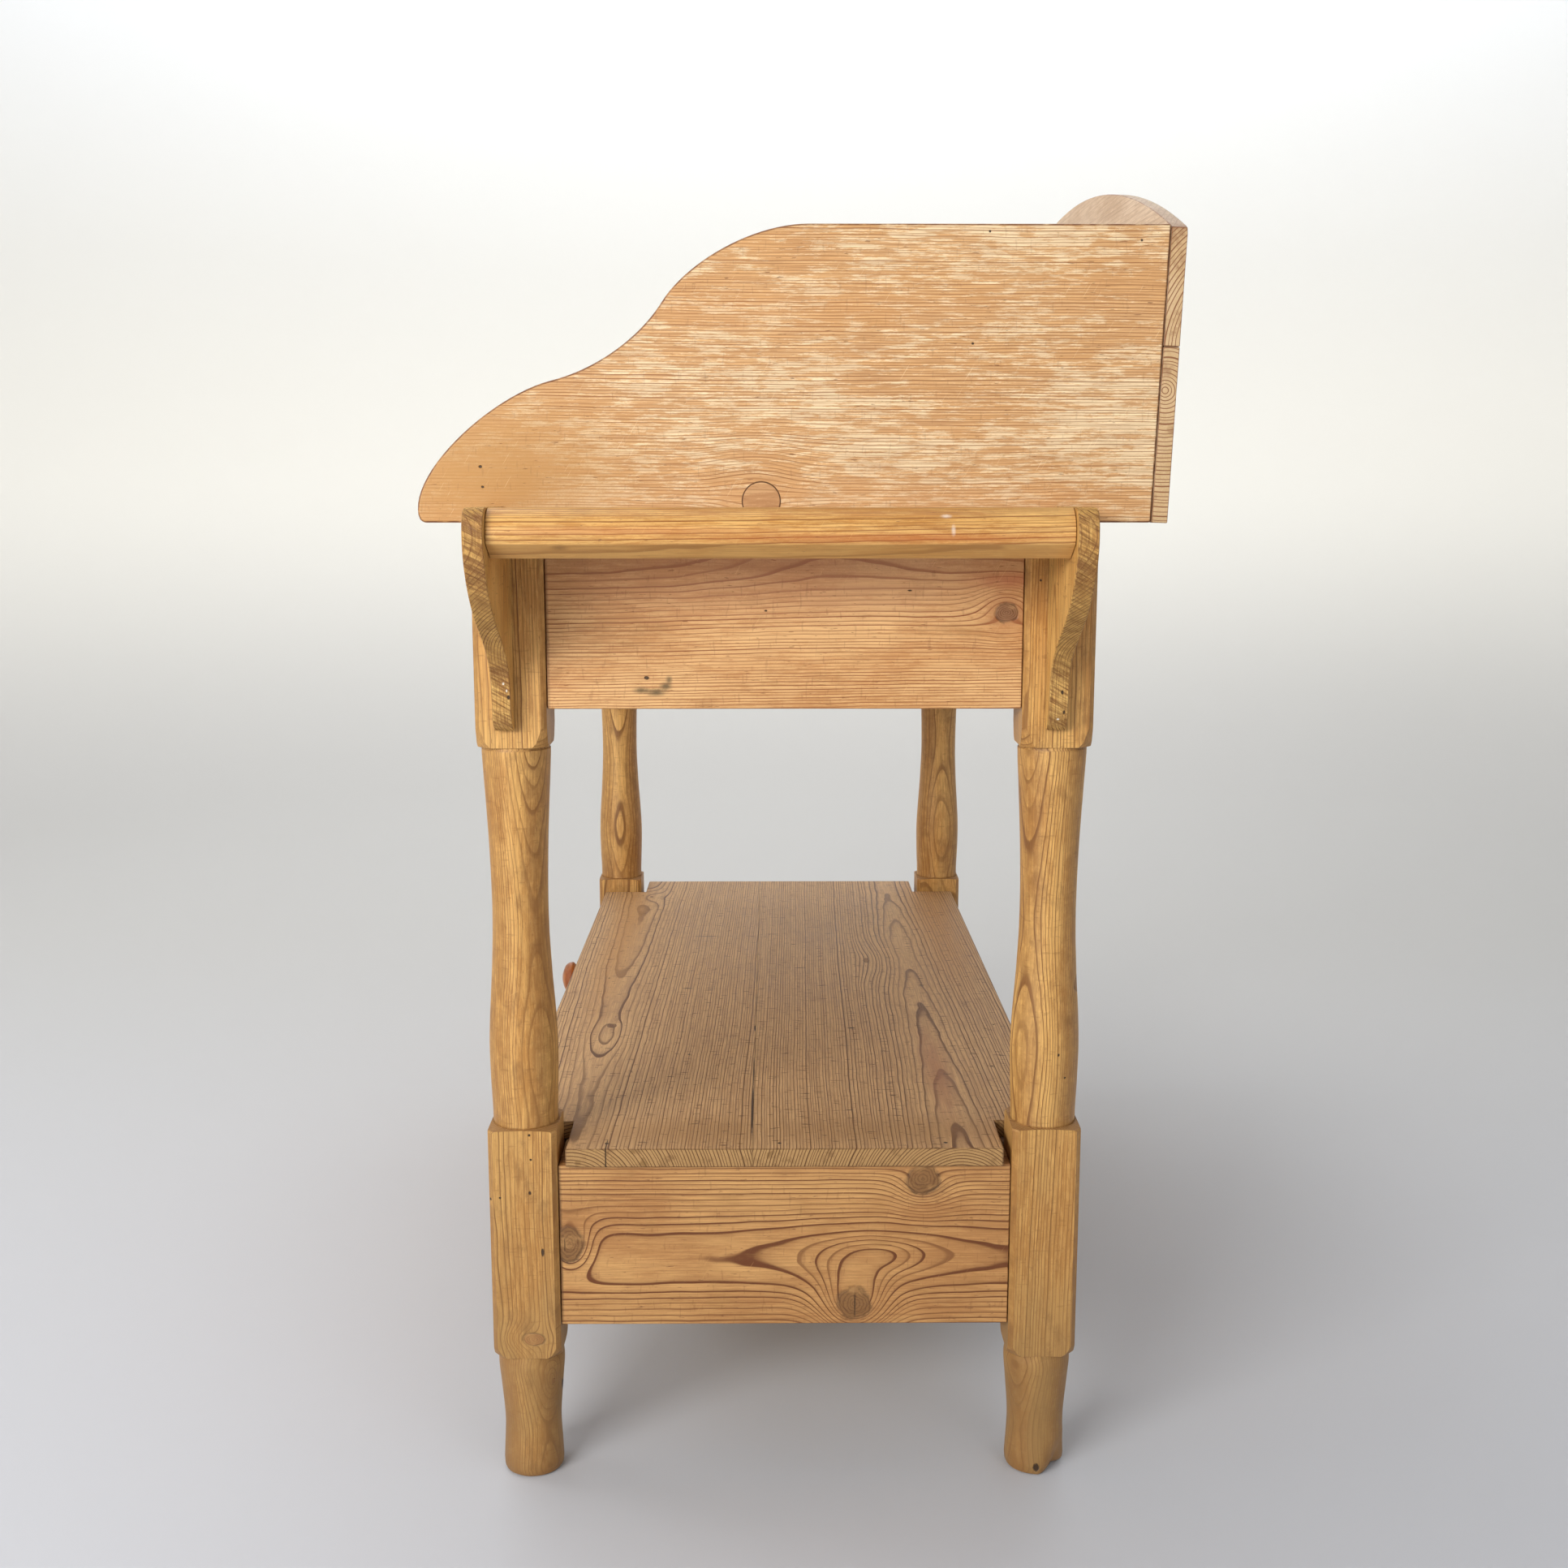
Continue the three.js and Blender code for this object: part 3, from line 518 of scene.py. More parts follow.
    # Dirt low down, end grain, and worn arrises.
    if grime:
        low, high, strength, soil = grime
        smear = n.math("MULTIPLY", n.between(parts[0], low, high, 1.0, 0.0),
                       n.math("MULTIPLY_ADD", skin["Cloud"], 0.9, 0.4))
        colour = n.blend(n.math("MULTIPLY", smear, strength), colour, soil)
    colour = n.blend(n.math("MULTIPLY", edges["End"], 0.62), colour, end_tone)
    end_lines = n.math("MAXIMUM", n.between(rings["Late"], 0.05, 0.5),
                       n.math("MULTIPLY", skin["Stain"], 0.6))
    colour = n.blend(n.math("MULTIPLY", end_lines, n.math("MULTIPLY", edges["End"], 0.85)), colour,
                     arris_tone)
    colour = n.blend(n.math("MULTIPLY", edges["Arris"], arris), colour, arris_tone)
    # Nail holes and dabs of filler come last.
    for places, cover, tint, sink in ((holes, 0.93, DARK_HOLE, -4.0), (filler, 0.9, FILLER, 0.0)):
        mask = 0.0
        for u, v, size in places:
            mask = marked(u, v, size, Marked=mask)
        if places:
            colour = n.blend(n.math("MULTIPLY", mask, cover), colour, tint)
        if places and sink:
            sunk.insert(0, (mask, sink))
    n.feed(shader.inputs["Base Color"], colour)
    sheen_and_relief(n, shader, rings, skin, edges, sunk, roughness, relief)
    return material


print("the pine builder is ready")

# %% [markdown]
# ## Making pieces
# A bmesh is a mesh on the workbench: operators shape it, then it is written to an object once.
# The shared last steps are here.


# %% Piece helpers
ARRIS_SEGMENTS = 3


def settle(bm, node, material, soften=0.0012, name=None, angle=28.0):
    """Writes a bmesh to an object that rides with its node, with arrises rounded by soften metres."""
    bmesh.ops.remove_doubles(bm, verts=bm.verts, dist=1e-6)
    bmesh.ops.recalc_face_normals(bm, faces=bm.faces)
    mesh = bpy.data.meshes.new(name or "pine_" + node)
    bm.to_mesh(mesh)
    bm.free()
    for face in mesh.polygons:
        face.use_smooth = True
    mesh.set_sharp_from_angle(angle=math.radians(angle))
    mesh.materials.append(material)
    piece = bpy.data.objects.new(name or "pine_" + node, mesh)
    bpy.context.scene.collection.objects.link(piece)
    if soften:
        bevel = piece.modifiers.new("worn_arris", "BEVEL")
        bevel.width = soften
        bevel.segments = ARRIS_SEGMENTS
        bevel.limit_method = "ANGLE"
        bevel.angle_limit = math.radians(angle)
        bevel.harden_normals = True
    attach(piece, "drawer" if node in bodies["drawer"] else "bench")
    if name is None:
        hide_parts(node)
    return piece


UNEVEN, UNEVEN_WAVES = 0.00035, 9.0  # metres in depth, waves per metre


def plank(low, high, grain, cuts):
    """A board between two corners, planed by hand: a little uneven along the grain."""
    bm = bmesh.new()
    bmesh.ops.create_cube(bm, size=1.0)
    bmesh.ops.scale(bm, vec=high - low, verts=bm.verts)
    middle = (low + high) / 2
    bmesh.ops.translate(bm, vec=middle, verts=bm.verts)
    lengthwise = [e for e in bm.edges if abs((e.verts[0].co - e.verts[1].co)[grain]) > 1e-6]
    bmesh.ops.subdivide_edges(bm, edges=lengthwise, cuts=cuts, use_grid_fill=True)
    for vert in bm.verts:
        for axis in range(3):
            if axis == grain:
                continue
            wave = 0.5 + 0.5 * noise.noise(vert.co * UNEVEN_WAVES + Vector((axis * 7.0, 3.0, 1.0)))
            vert.co[axis] -= math.copysign(UNEVEN * wave, vert.co[axis] - middle[axis])
    return bm


def outlined(points, place, depth):
    """A flat outline filled with one face and drawn out by a depth vector."""
    bm = bmesh.new()
    corners = [bm.verts.new(place(a, b)) for a, b in points]
    face = bm.faces.new(corners)
    drawn = bmesh.ops.extrude_face_region(bm, geom=[face])
    moved = [g for g in drawn["geom"] if isinstance(g, bmesh.types.BMVert)]
    bmesh.ops.translate(bm, vec=depth, verts=moved)
    return bm


def turned(profile, steps=64):
    """A profile of (radius, height) spun once round the Z axis."""
    bm = bmesh.new()
    verts = [bm.verts.new((r, 0, z)) for r, z in profile]
    edges = [bm.edges.new(pair) for pair in zip(verts, verts[1:])]
    bmesh.ops.spin(bm, geom=verts + edges, axis=(0, 0, 1), cent=(0, 0, 0), angle=2 * math.pi, steps=steps,
                   use_merge=True)
    bmesh.ops.remove_doubles(bm, verts=bm.verts, dist=1e-7)
    return bm


def lay(bm, about, middle):
    """Lays an upright round piece down, by a quarter turn about X or Y, and moves it to its place."""
    bmesh.ops.rotate(bm, matrix=Matrix.Rotation(math.pi / 2, 3, about), verts=bm.verts)
    bmesh.ops.translate(bm, vec=middle, verts=bm.verts)
    return bm


def rod(radius, depth, about, middle, segments):
    """A round bar or disc, laid down as above."""
    bm = bmesh.new()
    bmesh.ops.create_cone(bm, cap_ends=True, segments=segments, radius1=radius, radius2=radius,
                          depth=depth)
    return lay(bm, about, middle)


def plane_off(bm, place, normal):
    """Takes away what lies beyond a plane and closes the cut."""
    geometry = bm.verts[:] + bm.edges[:] + bm.faces[:]
    cut = bmesh.ops.bisect_plane(bm, geom=geometry, plane_co=place, plane_no=normal, clear_outer=True)
    rim = [g for g in cut["geom_cut"] if isinstance(g, bmesh.types.BMEdge)]
    bmesh.ops.edgeloop_fill(bm, edges=rim)


# %% Curve helpers
def flowing(points, steps):
    """A curve through every point, as a turner's eye would draw it (Catmull-Rom)."""
    ends = [points[0], *points, points[-1]]
    curve = []
    for p0, p1, p2, p3 in zip(ends, ends[1:], ends[2:], ends[3:]):
        for k in range(steps):
            t = k / steps
            curve.append(tuple(0.5
                               * (2 * b + (c - a) * t + (2 * a - 5 * b + 4 * c - d) * t * t
                                  + (3 * b - a - 3 * c + d) * t ** 3) for a, b, c,
                               d in zip(p0, p1, p2, p3)))
    return curve + [points[-1]]


def sweep(start, near_start, near_end, end, steps=22):
    """A Bezier curve's points after its start."""
    points = interpolate_bezier(*(Vector((*p, 0)) for p in (start, near_start, near_end, end)), steps + 1)
    return [(p.x, p.y) for p in points[1:]]


MM = 0.001
print("piece and curve helpers ready")

# %% [markdown]
# ## Turned legs
# A leg starts as a square post. The lathe rounds its foot and its middle and leaves two square
# blocks for the joints; where the cutter comes out of a block it leaves a curved shoulder. The
# same order works here: spin a profile that is fatter than the post at the blocks, then plane
# four sides off. The curved shoulders appear by themselves. Four more planes, turned by 45
# degrees, take the corners off the blocks and run out by themselves where the post gets thin.

# %% Leg profile
LEG_HALF = 0.028
CHAMFER_REACH = 0.0368  # from the leg's axis to the flat planed on each corner
FOOT = flowing([(25.6, 8), (23.6, 43), (25.8, 75), (27.6, 97), (26.6, 107), (26.2, 110)], 6)
SHAFT = flowing([(27.2, 309), (26.5, 315), (27.9, 375), (24.1, 440), (22.6, 485), (23.8, 543),
                 (27.2, 610), (27.0, 616)], 8)
LEG_PROFILE = [(0, 0), (18, 0), (22.8, 0.3), (24.4, 1.4), (25.3, 3.6), *FOOT, (32.5, 109.5),
               (34.5, 111.5), (36.6, 117), (39, 128), (42, 142), (42, 285), (40, 292), (38.4, 299),
               (37.4, 304), (36, 306.6), (28, 307.4), (26.5, 308), *SHAFT, (26.2, 618.5), (26.4, 620),
               (32.4, 620), (34.4, 624), (37, 636), (39.4, 648), (42, 665), (42, 794), (0, 794)]


# %% Plane and wear a leg
WEAR, FOOT_WEAR, FOOT_HEIGHT = 0.008, 0.03, 0.03  # shares of the radius, and the height it fades over
CHIP_DEPTH, CHIP_LIFT = 0.34, 0.006


def leg_mesh(x, y, chip=None):
    """A turned leg at (x, y); a chip is (x, y, height, width), measured from the leg's own axis."""
    bm = turned([(r * MM, z * MM) for r, z in LEG_PROFILE])
    for eighth in (0, 2, 4, 6, 1, 3, 5, 7):
        turn = math.radians(45 * eighth)
        normal = Vector((math.cos(turn), math.sin(turn), 0))
        reach = CHAMFER_REACH if eighth % 2 else LEG_HALF
        plane_off(bm, normal * reach, normal)
    for vert in bm.verts:
        low_down = max(0.0, 1.0 - vert.co.z / FOOT_HEIGHT)
        spread = Vector((vert.co.x, vert.co.y, 0))
        worn = noise.noise(Vector((x * 40 + vert.co.x * 90, y * 40 + vert.co.y * 90, vert.co.z * 60)))
        vert.co -= spread * (WEAR + FOOT_WEAR * low_down) * (0.5 + 0.5 * worn)
        if chip and vert.co.z < chip[2]:
            gap = Vector((vert.co.x, vert.co.y, 0)) - Vector((chip[0], chip[1], 0))
            bite = max(0.0, 1.0 - gap.length / chip[3])
            vert.co -= spread * CHIP_DEPTH * bite * (1 - vert.co.z / chip[2])
            vert.co.z += CHIP_LIFT * bite * low_down
    bmesh.ops.translate(bm, vec=(x, y, 0), verts=bm.verts)
    return bm


# %% Leg pine
LEG_BASE = dict(turn=POST, pale=paint(232, 182, 106), deep=paint(194, 140, 72), line=paint(118, 72, 30),
                contrast=1.0, patch=0.45, fibre=0.4, roughness=0.44, arris=0.42,
                arris_tone=paint(134, 88, 42), stain=0.5, stain_tone=paint(126, 86, 44), nicks=0.3,
                stains_and_shade=[(0.0, 0.0, (0.02, 3.0), 0.5, paint(118, 86, 50))],
                grime=(0.05, 0.42, 0.7, paint(140, 106, 62)))
LEG_TREES = {
    "front_right": dict(pith=(-0.275, -0.40), spacing=0.0017, wander=0.008, lean=0.012, seed=1.3,
                        heart_tone=paint(176, 112, 66),
                        knots=[(0.127, -0.2185, 0.0095, 0.6, 1.9, 0.004, 0.8),
                               (0.084, -0.2045, 0.0012, 2.4, 5.0, 0.006, 0.5)],
                        holes=[(0.3038, -0.2182, (0.0012, 0.0012)), (0.283, -0.2174, (0.0011, 0.0011)),
                               (0.2545, -0.2187, (0.0018, 0.0012)), (0.2504, -0.2432, (0.001, 0.0012)),
                               (0.2484, -0.2512, (0.0014, 0.001)), (0.203, -0.2095, (0.004, 0.0014)),
                               (0.07, -0.199, (0.012, 0.0006))]),
    "back_right": dict(pith=(0.285, -0.385), spacing=0.0018, wander=0.008, lean=0.012, seed=4.1,
                       knots=[(0.4245, 0.2261, 0.0042, 1.6, 2.0, 0.001, 0.8)],
                       holes=[(0.37, 0.209, (0.0014, 0.001)), (0.35, 0.215, (0.001, 0.001)),
                              (0.028, 0.232, (0.026, 0.0009)), (0.008, 0.2, (0.004, 0.003)),
                              (0.75, 0.185, (0.001, 0.001))]),
    "front_left": dict(pith=(-0.23, 0.54), spacing=0.0024, wander=0.016, lean=0.02, seed=7.7),
    "back_left": dict(pith=(0.19, 0.53), spacing=0.003, wander=0.014, lean=0.025, seed=9.2),
}

# %% Make the legs
FOOT_CHIP = (0.018, 0.02, 0.03, 0.02)
for place, tree in LEG_TREES.items():
    node = "leg_" + place
    low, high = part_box(node)
    middle = (low + high) / 2
    chip = FOOT_CHIP if place == "back_right" else None
    leg = settle(leg_mesh(middle.x, middle.y, chip), node, pine(node, **{**LEG_BASE, **tree}),
                 soften=0.0009)
    print(leg.name, len(leg.data.polygons), "faces")

# %% [markdown]
# ## Aprons and rails
# The end aprons are wide boards between the legs. Each is a plank with its own figure: the
# lower one is cut close to the pith, so its rings are wide in the middle and crowd at both
# edges, and three knots bend them.

# %% Apron pine
APRON = dict(turn=UPRIGHT_ALONG_Y, pale=paint(228, 182, 126), deep=paint(206, 152, 98),
             line=paint(160, 92, 44))
LOWER_END = pine("lower_apron_end_pine",
                 **{**APRON, "pale": paint(210, 161, 100), "deep": paint(182, 130, 76),
                    "line": paint(104, 56, 22)}, pith=(0.197, 0.413), spacing=0.0026, wander=0.005,
                 lean=0.004, contrast=1.4, seed=2.6, patch=0.3, fibre=0.35, nicks=0.2,
                 knots=[(-0.188, 0.2079, 0.0145, 0.74, 1.8, 0.013, 0.45),
                        (0.1014, 0.2633, 0.0125, 1.0, 1.7, 0.008, 0.9),
                        (0.0464, 0.1544, 0.0145, 0.95, 2.1, -0.024, 0.6)],
                 swells=[(0.058, 0.197, 0.030, 2.4, -0.0062), (0.070, 0.197, 0.011, 2.3, -0.0035)],
                 holes=[(0.0466, 0.154, (0.0005, 0.013)), (-0.192, 0.207, (0.0004, 0.006))],
                 arris_tone=paint(104, 58, 26), stain=0.25, heart_tone=paint(126, 88, 48),
                 # The first two entries are dark lines where the board meets the legs: dirt, and painted
                 # shadow of the joint gap.
                 stains_and_shade=[(0.1845, 0.2065, (0.0016, 0.09), 0.9, paint(84, 54, 28)),
                         (-0.1955, 0.2065, (0.0016, 0.09), 0.9, paint(84, 54, 28)),
                         (0.105, 0.256, (0.016, 0.007), 0.5, paint(110, 74, 38))])
UPPER_END = pine("upper_apron_end_pine",
                 **{**APRON, "pale": paint(234, 188, 128), "deep": paint(206, 152, 94),
                    "line": paint(134, 72, 32)}, pith=(0.775, 0.41), spacing=0.0020, wander=0.007,
                 lean=0.006, contrast=1.15, seed=5.2, patch=0.45, fibre=0.3, nicks=0.2,
                 knots=[(0.1598, 0.7249, 0.0075, 1.15, 2.5, 0.006, 0.9)], heart_tone=paint(142, 102, 70),
                 swells=[(0.02, 0.765, 0.02, 4.0, 0.003)],
                 # The first two entries are dark lines where the board meets the legs: dirt, and painted
                 # shadow of the joint gap.
                 stains_and_shade=[(-0.1955, 0.72, (0.0018, 0.09), 0.7, paint(104, 66, 34)),
                         (0.184, 0.72, (0.0018, 0.09), 0.7, paint(104, 66, 34)),
                         # The next two entries are painted shade under the towel rail: a dark band along
                         # the top of the apron and a softer, redder band below it.
                         (0.0, 0.782, (0.3, 0.022), 0.8, paint(104, 62, 36)),
                         (0.0, 0.752, (0.2, 0.03), 0.35, paint(196, 130, 96)),
                         (-0.1225, 0.6648, (0.006, 0.0026), 0.9, paint(100, 80, 48)),
                         (-0.1115, 0.6634, (0.007, 0.003), 1.0, paint(100, 80, 48)),
                         (-0.1035, 0.668, (0.0045, 0.003), 0.9, paint(100, 80, 48)),
                         (-0.1012, 0.673, (0.0025, 0.003), 0.8, paint(100, 80, 48)),
                         (0.165, 0.75, (0.03, 0.006), 0.55, paint(190, 112, 76)),
                         (0.1598, 0.724, (0.017, 0.014), 0.7, paint(168, 106, 62))],
                 holes=[(-0.1185, 0.6745, (0.0022, 0.0016)), (-0.026, 0.7265, (0.0014, 0.0008)),
                        (0.085, 0.742, (0.002, 0.0008))])

# %% Make the aprons
TENON = 0.0243  # the part of each end that is hidden in a leg
FRAME_CUTS = 12


def frame_board(node, material, grain=0):
    """A plank between two legs; the tenons are left off, because nothing shows them."""
    low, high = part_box(node)
    low[grain] += TENON
    high[grain] -= TENON
    return settle(plank(low, high, grain, FRAME_CUTS), node, material)


frame_board("upper_apron_right", UPPER_END, grain=1)
frame_board("lower_apron_right", LOWER_END, grain=1)
frame_board("upper_apron_left",
            pine("upper_apron_left_pine", **APRON, pith=(0.70, -0.42), seed=8.1, contrast=0.6), grain=1)
frame_board("lower_apron_left",
            pine("lower_apron_left_pine", **APRON, pith=(0.21, -0.42), seed=3.9, contrast=0.9,
                 knots=[(-0.05, 0.2, 0.011, 1.0, 2.2, 0.006, 0.9)]), grain=1)
LONG = dict(turn=UPRIGHT_ALONG_X, pale=paint(226, 180, 124), deep=paint(204, 152, 96),
            line=paint(158, 94, 46))
frame_board("upper_apron_front",
            pine("upper_apron_front_pine", **LONG, pith=(0.72, 0.16), seed=6.4, contrast=0.7, lean=0.012,
                 knots=[(0.21, 0.742, 0.011, 1.1, 2.2, 0.005, 0.9),
                        (-0.29, 0.69, 0.008, 1.2, 2.2, 0.004, 0.9)]))
frame_board("upper_apron_back",
            pine("upper_apron_back_pine", **LONG, pith=(0.69, -0.14), seed=12.4, contrast=0.75, lean=0.01,
                 knots=[(-0.16, 0.71, 0.012, 1.1, 2.2, 0.005, 0.9)]))
frame_board("lower_apron_back",
            pine("lower_apron_back_pine", **LONG, pith=(0.22, -0.13), seed=15.8, contrast=0.85,
                 lean=0.012, knots=[(0.27, 0.2, 0.011, 1.1, 2.2, 0.005, 0.9)]))
frame_board("drawer_rail", pine("drawer_rail_pine", **LONG, pith=(0.11, 0.2), seed=18.1, contrast=0.6))
print("aprons done")

# %% [markdown]
# ## Boards that keep the CAD shape
# A few boards already have the right shape, with notches, grooves or dovetails cut by the CAD
# program. Their mesh is loose triangles, so a copy is welded, its flat triangles are dissolved
# into whole faces, and the same rounding goes over its edges.


# %% Shaped boards
def from_frame(node):
    bm = bmesh.new()
    bm.from_mesh(frame["nodes"][node].data)
    bmesh.ops.remove_doubles(bm, verts=bm.verts, dist=1e-6)
    bmesh.ops.dissolve_limit(bm, angle_limit=math.radians(1), verts=bm.verts, edges=bm.edges)
    return bm


print("boards kept from the CAD model: the shelf and the drawer")

# %% Shelf pine
SHELF = dict(turn=FLAT_ALONG_X, pale=paint(215, 173, 122), deep=paint(204, 161, 111),
             line=paint(104, 66, 36), roughness=0.58, nicks=0.8, patch=0.8, fibre=0.34, contrast=1.35,
             stain_tone=paint(140, 98, 62), stain=0.16, relief=1.6, end_tone=paint(156, 120, 70),
             arris_tone=paint(88, 54, 28))
SHELF_FRONT_PINE = pine("shelf_front_pine", **SHELF, pith=(-0.186, 0.246), spacing=0.0026, wander=0.006,
                        lean=0.014, seed=5.9,
                        knots=[(0.161, -0.181, 0.0042, 1.5, 2.5, -0.001, 0.0),
                               (-0.3957, -0.1799, 0.002, 2.0, 9.0, 0.006, 0.0)],
                        swells=[(0.195, -0.1835, 0.017, 2.6, -0.0042)], heart_tone=paint(120, 78, 44),
                        holes=[(-0.0108, -0.1998, (0.0016, 0.0016)), (0.476, -0.1567, (0.0022, 0.002)),
                               (0.03, -0.112, (0.0014, 0.007)), (-0.19, -0.1, (0.0012, 0.02)),
                               (-0.14, -0.19, (0.001, 0.001)), (0.484, -0.1567, (0.02, 0.0006)),
                               (0.25, -0.1, (0.0016, 0.0016)), (0.40, -0.0385, (0.07, 0.0009)),
                               (0.30, -0.0385, (0.05, 0.0005)), (0.17, -0.0385, (0.012, 0.0008))],
                        stains_and_shade=[(-0.2, -0.2, (0.33, 0.022), 0.55, paint(190, 134, 66)),
                                (0.45, -0.1, (0.035, 0.12), 0.4, paint(140, 98, 46))])
SHELF_BACK_PINE = pine("shelf_back_pine", **SHELF, pith=(0.132, 0.244), spacing=0.0025, wander=0.007,
                       lean=-0.012, seed=6.1, knots=[(-0.0809, 0.0858, 0.003, 3.0, 9.0, 0.006, 0.3)],
                       holes=[(0.476, 0.1203, (0.0022, 0.002)), (0.476, -0.0155, (0.002, 0.0018)),
                              (-0.05, 0.01, (0.0012, 0.008)), (0.17, 0.057, (0.0016, 0.005)),
                              (-0.2, -0.02, (0.001, 0.01)), (0.02, 0.14, (0.0016, 0.004)),
                              (0.16, 0.2, (0.0014, 0.0014)), (0.40, 0.045, (0.001, 0.004))],
                       stains_and_shade=[(-0.25, 0.185, (0.3, 0.03), 0.5, paint(186, 128, 62)),
                               (0.45, 0.1, (0.035, 0.14), 0.4, paint(140, 98, 46)),
                               (0.3, 0.13, (0.12, 0.012), 0.5, paint(160, 98, 66))])


# %% Make the shelf
SHELF_ARRIS = 0.0014
SHARP = 0.5  # radians between two faces, past which their edge is an arris


def shelf_mesh(node, joint):
    """The notched board with worn outer arrises; those at the joint of the two boards stay crisp."""
    bm = from_frame(node)
    worn = [e for e in bm.edges
            if e.calc_face_angle(0) > SHARP and any(abs(v.co.y - joint) > MM for v in e.verts)]
    bmesh.ops.bevel(bm, geom=worn, offset=SHELF_ARRIS, offset_type="OFFSET", segments=ARRIS_SEGMENTS,
                    profile=0.5, affect="EDGES", material=-1, clamp_overlap=True)
    return bm


for node, wood in (("shelf_board_front", SHELF_FRONT_PINE), ("shelf_board_back", SHELF_BACK_PINE)):
    low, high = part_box(node)
    joint = high.y if node.endswith("front") else low.y
    shelf = settle(shelf_mesh(node, joint), node, wood, soften=0)
    print(shelf.name, len(shelf.data.polygons), "faces")

# %% Worktop
TOP = dict(turn=FLAT_ALONG_X, pale=paint(226, 184, 132), deep=paint(200, 152, 100),
           line=paint(156, 98, 52), roughness=0.5, patch=0.45, contrast=0.6)
WORKTOP = {  # the pith of each board, and where its one knot lies
    "worktop_board_front": ((-0.2, 0.73), (0.31, -0.19)),
    "worktop_board_middle": ((0.03, 0.72), (-0.02, 0.02)),
    "worktop_board_back": ((0.15, 0.74), (-0.27, 0.17)),
}
for index, (node, (pith, knot)) in enumerate(WORKTOP.items()):
    low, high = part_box(node)
    wood = pine(node + "_pine", **TOP, pith=pith, seed=20.0 + 3 * index,
                knots=[(*knot, 0.009, 1.2, 2.4, 0.005, 0.9)])
    settle(plank(low, high, 0, cuts=16), node, wood, soften=0.0015)
print("worktop and shelf done")

# %% [markdown]
# ## Gallery
# The side panels have the long ogee of an old washstand. The outline is drawn once in the
# panel's own plane, with Bezier curves where the saw followed a template, and drawn out to the
# board's thickness. The arched back leans two degrees, so its outline is placed by a rotation.

# %% Gallery outlines
OGEE_FRONT = 275.5  # how far the outline below reaches forward, in millimetres
BACK_FACE = 276  # the front face of the gallery's back, on the same scale
side_low, side_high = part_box("gallery_side_right")
SHIFT_Y = side_low.y / MM + OGEE_FRONT
BOARD_FOOT = [(-271.5, 794), (275.7, 794), (283.3, 1010.5), (18, 1010.5)]
OGEE = (BOARD_FOOT
        + sweep((18, 1010.5), (-24, 1010.5), (-72.5, 983), (-90.7, 955))
        + sweep((-90.7, 955), (-107.4, 929.5), (-139.3, 906.8), (-173.3, 898.4))
        + sweep((-173.3, 898.4), (-216, 888), (-275.5, 836.4), (-275.5, 804))
        + [(-275.3, 800), (-274, 796.4)])
for end, sign in (("right", 1), ("left", -1)):
    node = "gallery_side_" + end
    low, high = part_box(node)
    material = pine(node + "_pine", turn=UPRIGHT_ALONG_Y, pale=paint(252, 226, 182),
                    deep=paint(222, 172, 114), patch_level=0.045, line=paint(138, 80, 34),
                    pith=(0.62, sign * 0.44), spacing=0.0022, wander=0.009, lean=0.008, contrast=1.0,
                    seed=3.3 if sign > 0 else 13.9, patch=0.8, fibre=0.46, roughness=0.47, arris=0.9,
                    stain=0.14, nicks=0.15,
                    stains_and_shade=[(-0.23, 0.825, (0.1, 0.06), 0.95, paint(190, 140, 78)),
                            (0.05, 0.8, (0.25, 0.025), 0.4, paint(206, 152, 98)),
                            (0.0, 0.95, (0.2, 0.012), 0.25, paint(210, 152, 92))],
                    arris_tone=paint(112, 64, 32), end_tone=paint(196, 148, 92),
                    knots=[(-0.033, 0.8095, 0.0002, 1.0, 170.0, 0.003, 0.6)] if sign > 0 else (),
                    holes=[(-0.2388, 0.8354, (0.0016, 0.0013)), (-0.2375, 0.8205, (0.0013, 0.001)),
                           (0.2502, 0.9987, (0.001, 0.001)), (0.1387, 1.0049, (0.001, 0.001)),
                           (0.1275, 0.925, (0.0012, 0.001))] if sign > 0 else ())
    bm = outlined(OGEE, lambda y, z: Vector((low.x, (y + SHIFT_Y) * MM, z * MM)),
                  Vector((high.x - low.x, 0, 0)))
    side = settle(bm, node, material, soften=0.002, angle=35)
    print(side.name, len(side.data.polygons), "faces")

# %% Gallery back
LEAN_BACK = Matrix.Rotation(math.radians(-2), 4, "X")
BACK_FOOT = Vector((0, (BACK_FACE + SHIFT_Y) * MM, 0.794))
BACK_BOARD = 12 * MM
HALF_BACK = 506 * MM
back_turn = UPRIGHT_ALONG_X @ LEAN_BACK.to_3x3().inverted()


def arch(half, joint=0.1293, shoulder=0.2165, top=0.300, corner=0.006, nip=0.0018, steps=64):
    """The crest's outline: upright ends, small corners, and a part of a circle between them."""
    chord, rise = half - corner, top - shoulder
    radius = (chord * chord + rise * rise) / (2 * rise)
    reach = math.asin(chord / radius)
    swing = [reach * (1 - 2 * k / steps) for k in range(steps + 1)]
    crown = [(radius * math.sin(a), top - radius + radius * math.cos(a)) for a in swing]
    return [(-half, joint), (half, joint), (half, shoulder - corner), (half - nip, shoulder - nip),
            *crown, (-half + nip, shoulder - nip), (-half, shoulder - corner)]


